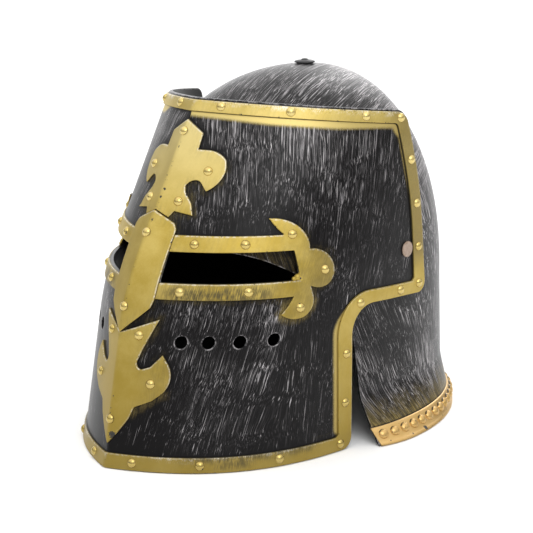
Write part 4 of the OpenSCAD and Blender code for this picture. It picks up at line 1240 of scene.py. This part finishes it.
def bead(shape, a, z):
    """Half an egg, laid along the band, with dark paint round its foot, highest on its upper side."""
    p, n = skull(a, z, BAND_T)
    u = unit(skull(a + 0.01, z, BAND_T)[0] - p)
    v = np.cross(n, u)
    long, broad, sink, rings = STUD_D * 0.575, STUD_D * 0.52, 0.25, 6
    t = np.linspace(0, 2 * math.pi, 14, endpoint=False)
    c, s = np.cos(t)[:, None], np.sin(t)[:, None]
    upper = (-0.62 * u[1] * c + 0.78 * s)[:, 0]
    rows = []
    for j in range(rings):
        r, h = math.cos(j / rings * math.pi / 2), math.sin(j / rings * math.pi / 2)
        points = p - n * sink + c * long * r * u + s * broad * r * v + n * (h * (STUD_H + sink))
        edge = np.where((j == 0) | ((j < 3) & (upper > 0.50 + 0.12 * j)), -1.0, 9.0)
        normals = c * r / long * u + s * r / broad * v + n * (h / STUD_H)
        rows.append(shape.add(points, normals, edge=edge, up=0.0))
    shape.skin(rows)
    shape.fan(rows[-1], shape.add([p + n * STUD_H], [n], edge=9.0))


band_a = band_end()
strip = neck_band(np.linspace(band_a, math.pi - band_a, 420))
piece(strip, "neck_band_strip", BAND_GOLD, "skull", "neck_band")
bead_z = BAND_H * 0.6
a = np.linspace(band_a, math.pi - band_a, 3000)
length = run_length(skull(a, np.full(3000, bead_z), BAND_T)[0])
beads = Shape()
for k in range(STUD_COUNT):
    along = length[-1] / 2 + (k - (STUD_COUNT - 1) / 2) * STUD_PITCH
    bead(beads, float(np.interp(along, length, a)), bead_z)
piece(beads, "neck_band_beads", BAND_GOLD, "skull", "neck_band_studs")


# Crown boss and pivots
def turned_piece(name, rings, at, axis, material, node):
    shape = Shape()
    spun(shape, rings, np.array(at), np.array(axis, float), 40, 2.0, 2.0, (0, 1.0, 0.01))
    piece(shape, name, material, "skull", node)


turned_piece("crown_boss_cap", [
    (6.2, -0.6, 90), (6.4, 0.2, 90), (7.0, 0.6, 110), (7.9, 0.9, 95), (8.0, 1.4, 70), (7.4, 1.9, 35),
    (6.0, 2.25, 20), (4.0, 2.55, 12), (3.0, 2.7, 30), (2.6, 3.1, 55), (1.9, 3.5, 35), (1.0, 3.68, 14),
    (0, 3.72, 0)],
    (0, SKULL_Y + CROWN_BACK, SKULL_H), (0, 0, 1), DARK_PLASTIC, "crown_boss")
HEAD_R = PIVOT_HEAD / 2
for hand, side in (("left", 1), ("right", -1)):
    turned_piece("pivot_head_" + hand, [
        (PIVOT_D / 2, -6.4, 90), (PIVOT_D / 2, 0, 90), (HEAD_R - 0.5, 0, 170), (HEAD_R - 0.1, 0.12, 120),
        (HEAD_R, 0.4, 90), (HEAD_R - 0.1, 0.85, 65), (HEAD_R - 0.5, 1.15, 30), (HEAD_R - 1.3, 1.2, 0),
        (HEAD_R - 2.4, 1.02, 0), (0, 1.0, 0)],
        (side * (VISOR_W / 2 + SEAT_GAP), PIVOT_Y, PIVOT_Z), (side, 0, 0),
        PIVOT_TAN, "pivot_rivet_" + hand)


# Linings: quilted pads, their faces bulged between the seams
def pad_faces(thick):
    """The offsets of a pad's outer and inner face."""
    return -SKULL_WALL - PAD_GAP, -SKULL_WALL - 0.3 - thick


def brow_lining():
    """A pad round the head, in a section of rounded corners, with upright seams on its inner face."""
    shape = Shape()
    a = np.linspace(-math.pi / 2, 3 * math.pi / 2, 360, endpoint=False)
    cell = 2 * math.pi / 22
    wave = np.abs(np.sin((a + math.pi / 2) / cell * math.pi))
    shrink = (1 - wave ** 0.45) * 2.6
    outer, inner = pad_faces(PAD_T)
    rows = []
    for t in np.linspace(0, 2 * math.pi, 29)[:-1]:
        c, s, m = math.cos(t), math.sin(t), 3.2
        r = (abs(c) ** m + abs(s) ** m) ** (-1 / m)
        d = (outer + inner) / 2 + (outer - inner) / 2 * r * c
        z = BROW_Z + 3 + PAD_H / 2 * (1 + r * s)
        p, n = skull(a, z - shrink * s * 0.7, d + shrink * max(-c, 0))
        rows.append(shape.add(p, n * c + [0, 0, s], edge=5, flow_s=a * 100, flow_z=z - shrink * s * 0.7 - d,
                              seam=wave * cell * DOME_R / math.pi if c < 0.3 else 2.0))
    shape.skin(rows + rows[:1])
    return shape


def crown_lining():
    """A round pad under the crown, its lower face quilted in diamonds."""
    shape = Shape()
    a = np.linspace(0, 2 * math.pi, 160, endpoint=False)
    rim_v = float(skull_v(SKULL_H - CROWN_PAD_H))
    upper, lower = pad_faces(CROWN_PAD_T)
    mid = (upper + lower) / 2
    path = [(v, upper) for v in np.linspace(1.0, rim_v - 1.5, 22)]
    path += [(rim_v - 0.4, upper - 0.6), (rim_v, mid + 2), (rim_v, mid - 2), (rim_v - 0.4, lower + 0.8)]
    path += [(v, lower) for v in np.linspace(rim_v - 1.5, 1.0, 30)]
    rows = []
    for v, d in path:
        x, y = v * np.cos(a), v * np.sin(a)
        under = d < mid
        seam = np.minimum(np.abs(np.sin((x + y) / 26 * math.pi)), np.abs(np.sin((x - y) / 26 * math.pi)))
        p, n = skull(a, np.full(len(a), skull_z(v)), d + (1.9 * (1 - seam ** 0.5) if under else 0))
        rows.append(shape.add(p, -n if under else n, edge=5, flow_s=x, flow_z=y,
                              seam=seam * 26 / math.pi if under else 3.0))
    shape.skin(rows)
    for row, d, side in ((rows[0], upper, 1), (rows[-1], lower, -1)):
        shape.fan(row, shape.add([skull_point(0.0, SKULL_H, d)], [[0, 0, side]], edge=5, seam=3.0))
    return shape


for name, shape in (("brow", brow_lining()), ("crown", crown_lining())):
    ob = piece(shape, name + "_lining", LINING_CLOTH, "skull", name + "_pad")
    # a pad's normals follow its own bulges
    if ob.data.has_custom_normals:
        ob.data.attributes.remove(ob.data.attributes["custom_normal"])

# CAD solids that stay, with materials of their own
for kind, material in (("pivot_spacer", DARK_PLASTIC), ("pivot_burr", PIVOT_TAN)):
    for hand in ("left", "right"):
        mesh = bpy.data.objects[f"{kind}_{hand}"].data
        for i in range(len(mesh.materials)):
            mesh.materials[i] = material


# Camera, floor and light, in metres
def view_matrix(at, turn, rise, roll):
    """The camera's place and attitude, from its angles round the helmet."""
    back = np.array([math.sin(turn) * math.cos(rise), -math.cos(turn) * math.cos(rise), math.sin(rise)])
    right = np.array([math.cos(turn), math.sin(turn), 0])
    up = np.cross(back, right)
    right, up = right * math.cos(roll) + up * math.sin(roll), -right * math.sin(roll) + up * math.cos(roll)
    axes = np.stack([right, up, back], 1).tolist()
    return Matrix([(*row, place) for row, place in zip(axes, at)] + [(0, 0, 0, 1)])


CAMERA_AT, CAMERA_ANGLES = (0.7771, -0.8603, 0.3997), (41.836, 13.85, -0.673)
SENSOR, LENS = 36, 105.31
cam = bpy.data.cameras.new("camera")
cam.sensor_width, cam.lens, cam.dof.use_dof = SENSOR, LENS, False
cam.clip_start, cam.clip_end = 0.05, 20
cam_ob = bpy.data.objects.new("camera", cam)
cam_ob.matrix_world = view_matrix(CAMERA_AT, *(math.radians(degrees) for degrees in CAMERA_ANGLES))
bpy.context.scene.collection.objects.link(cam_ob)
bpy.context.scene.camera = cam_ob

FLOOR_R, FLOOR_Z = 40, -0.0006
floor_me = bpy.data.meshes.new("floor")
floor_corners = [(x * FLOOR_R, y * FLOOR_R, FLOOR_Z) for x, y in ((-1, -1), (1, -1), (1, 1), (-1, 1))]
floor_me.from_pydata(floor_corners, [], [(0, 1, 2, 3)])
floor = bpy.data.objects.new("floor", floor_me)
bpy.context.scene.collection.objects.link(floor)
t = new_material("floor_white")
pale = t.mix(t.noise(t.place(scale=1.0), 3.0, 3.0).span(0.3, 0.7), (0.90, 0.90, 0.90), (0.94, 0.94, 0.94))
floor_me.materials.append(t.surface(Base_Color=pale, Roughness=0.9))


def lamp(name, at, aim, size, power):
    data = bpy.data.lights.new(name, "AREA")
    data.shape, data.size, data.size_y = "RECTANGLE", size, size
    data.energy = power
    ob = bpy.data.objects.new(name, data)
    ob.location = at
    ob.rotation_euler = (Vector(aim) - Vector(at)).to_track_quat("-Z", "Y").to_euler()
    bpy.context.scene.collection.objects.link(ob)


lamp("key", (1.62, -1.02, 1.95), (0, -0.03, 0.12), 1.7, 25)
lamp("edge", (-0.5, 1.7, 1.3), (0, 0, 0.15), 0.9, 8)

# the light is brighter overhead and behind the helmet, and the backdrop itself is white above the floor
world = bpy.data.worlds.new("studio")
t = Tree(world)
sky = t.place("Generated", 1.0)
overhead = t.height(sky).span(0.0, 0.95, 0.13, 1.60)
behind = t.vector_math("DOT_PRODUCT", sky, (-0.667, 0.745, 0.0)).span(0.70, 0.97, 0.0, 2.0)
backdrop = Value(t, t.node("ShaderNodeLightPath").outputs["Is Camera Ray"])
t.put(t.nodes["Background"].inputs["Strength"], overhead.max(behind).max(backdrop))
t.put(t.nodes["Background"].inputs["Color"], (1, 1, 1))
bpy.context.scene.world = world
bpy.context.scene.view_settings.view_transform = "Standard"
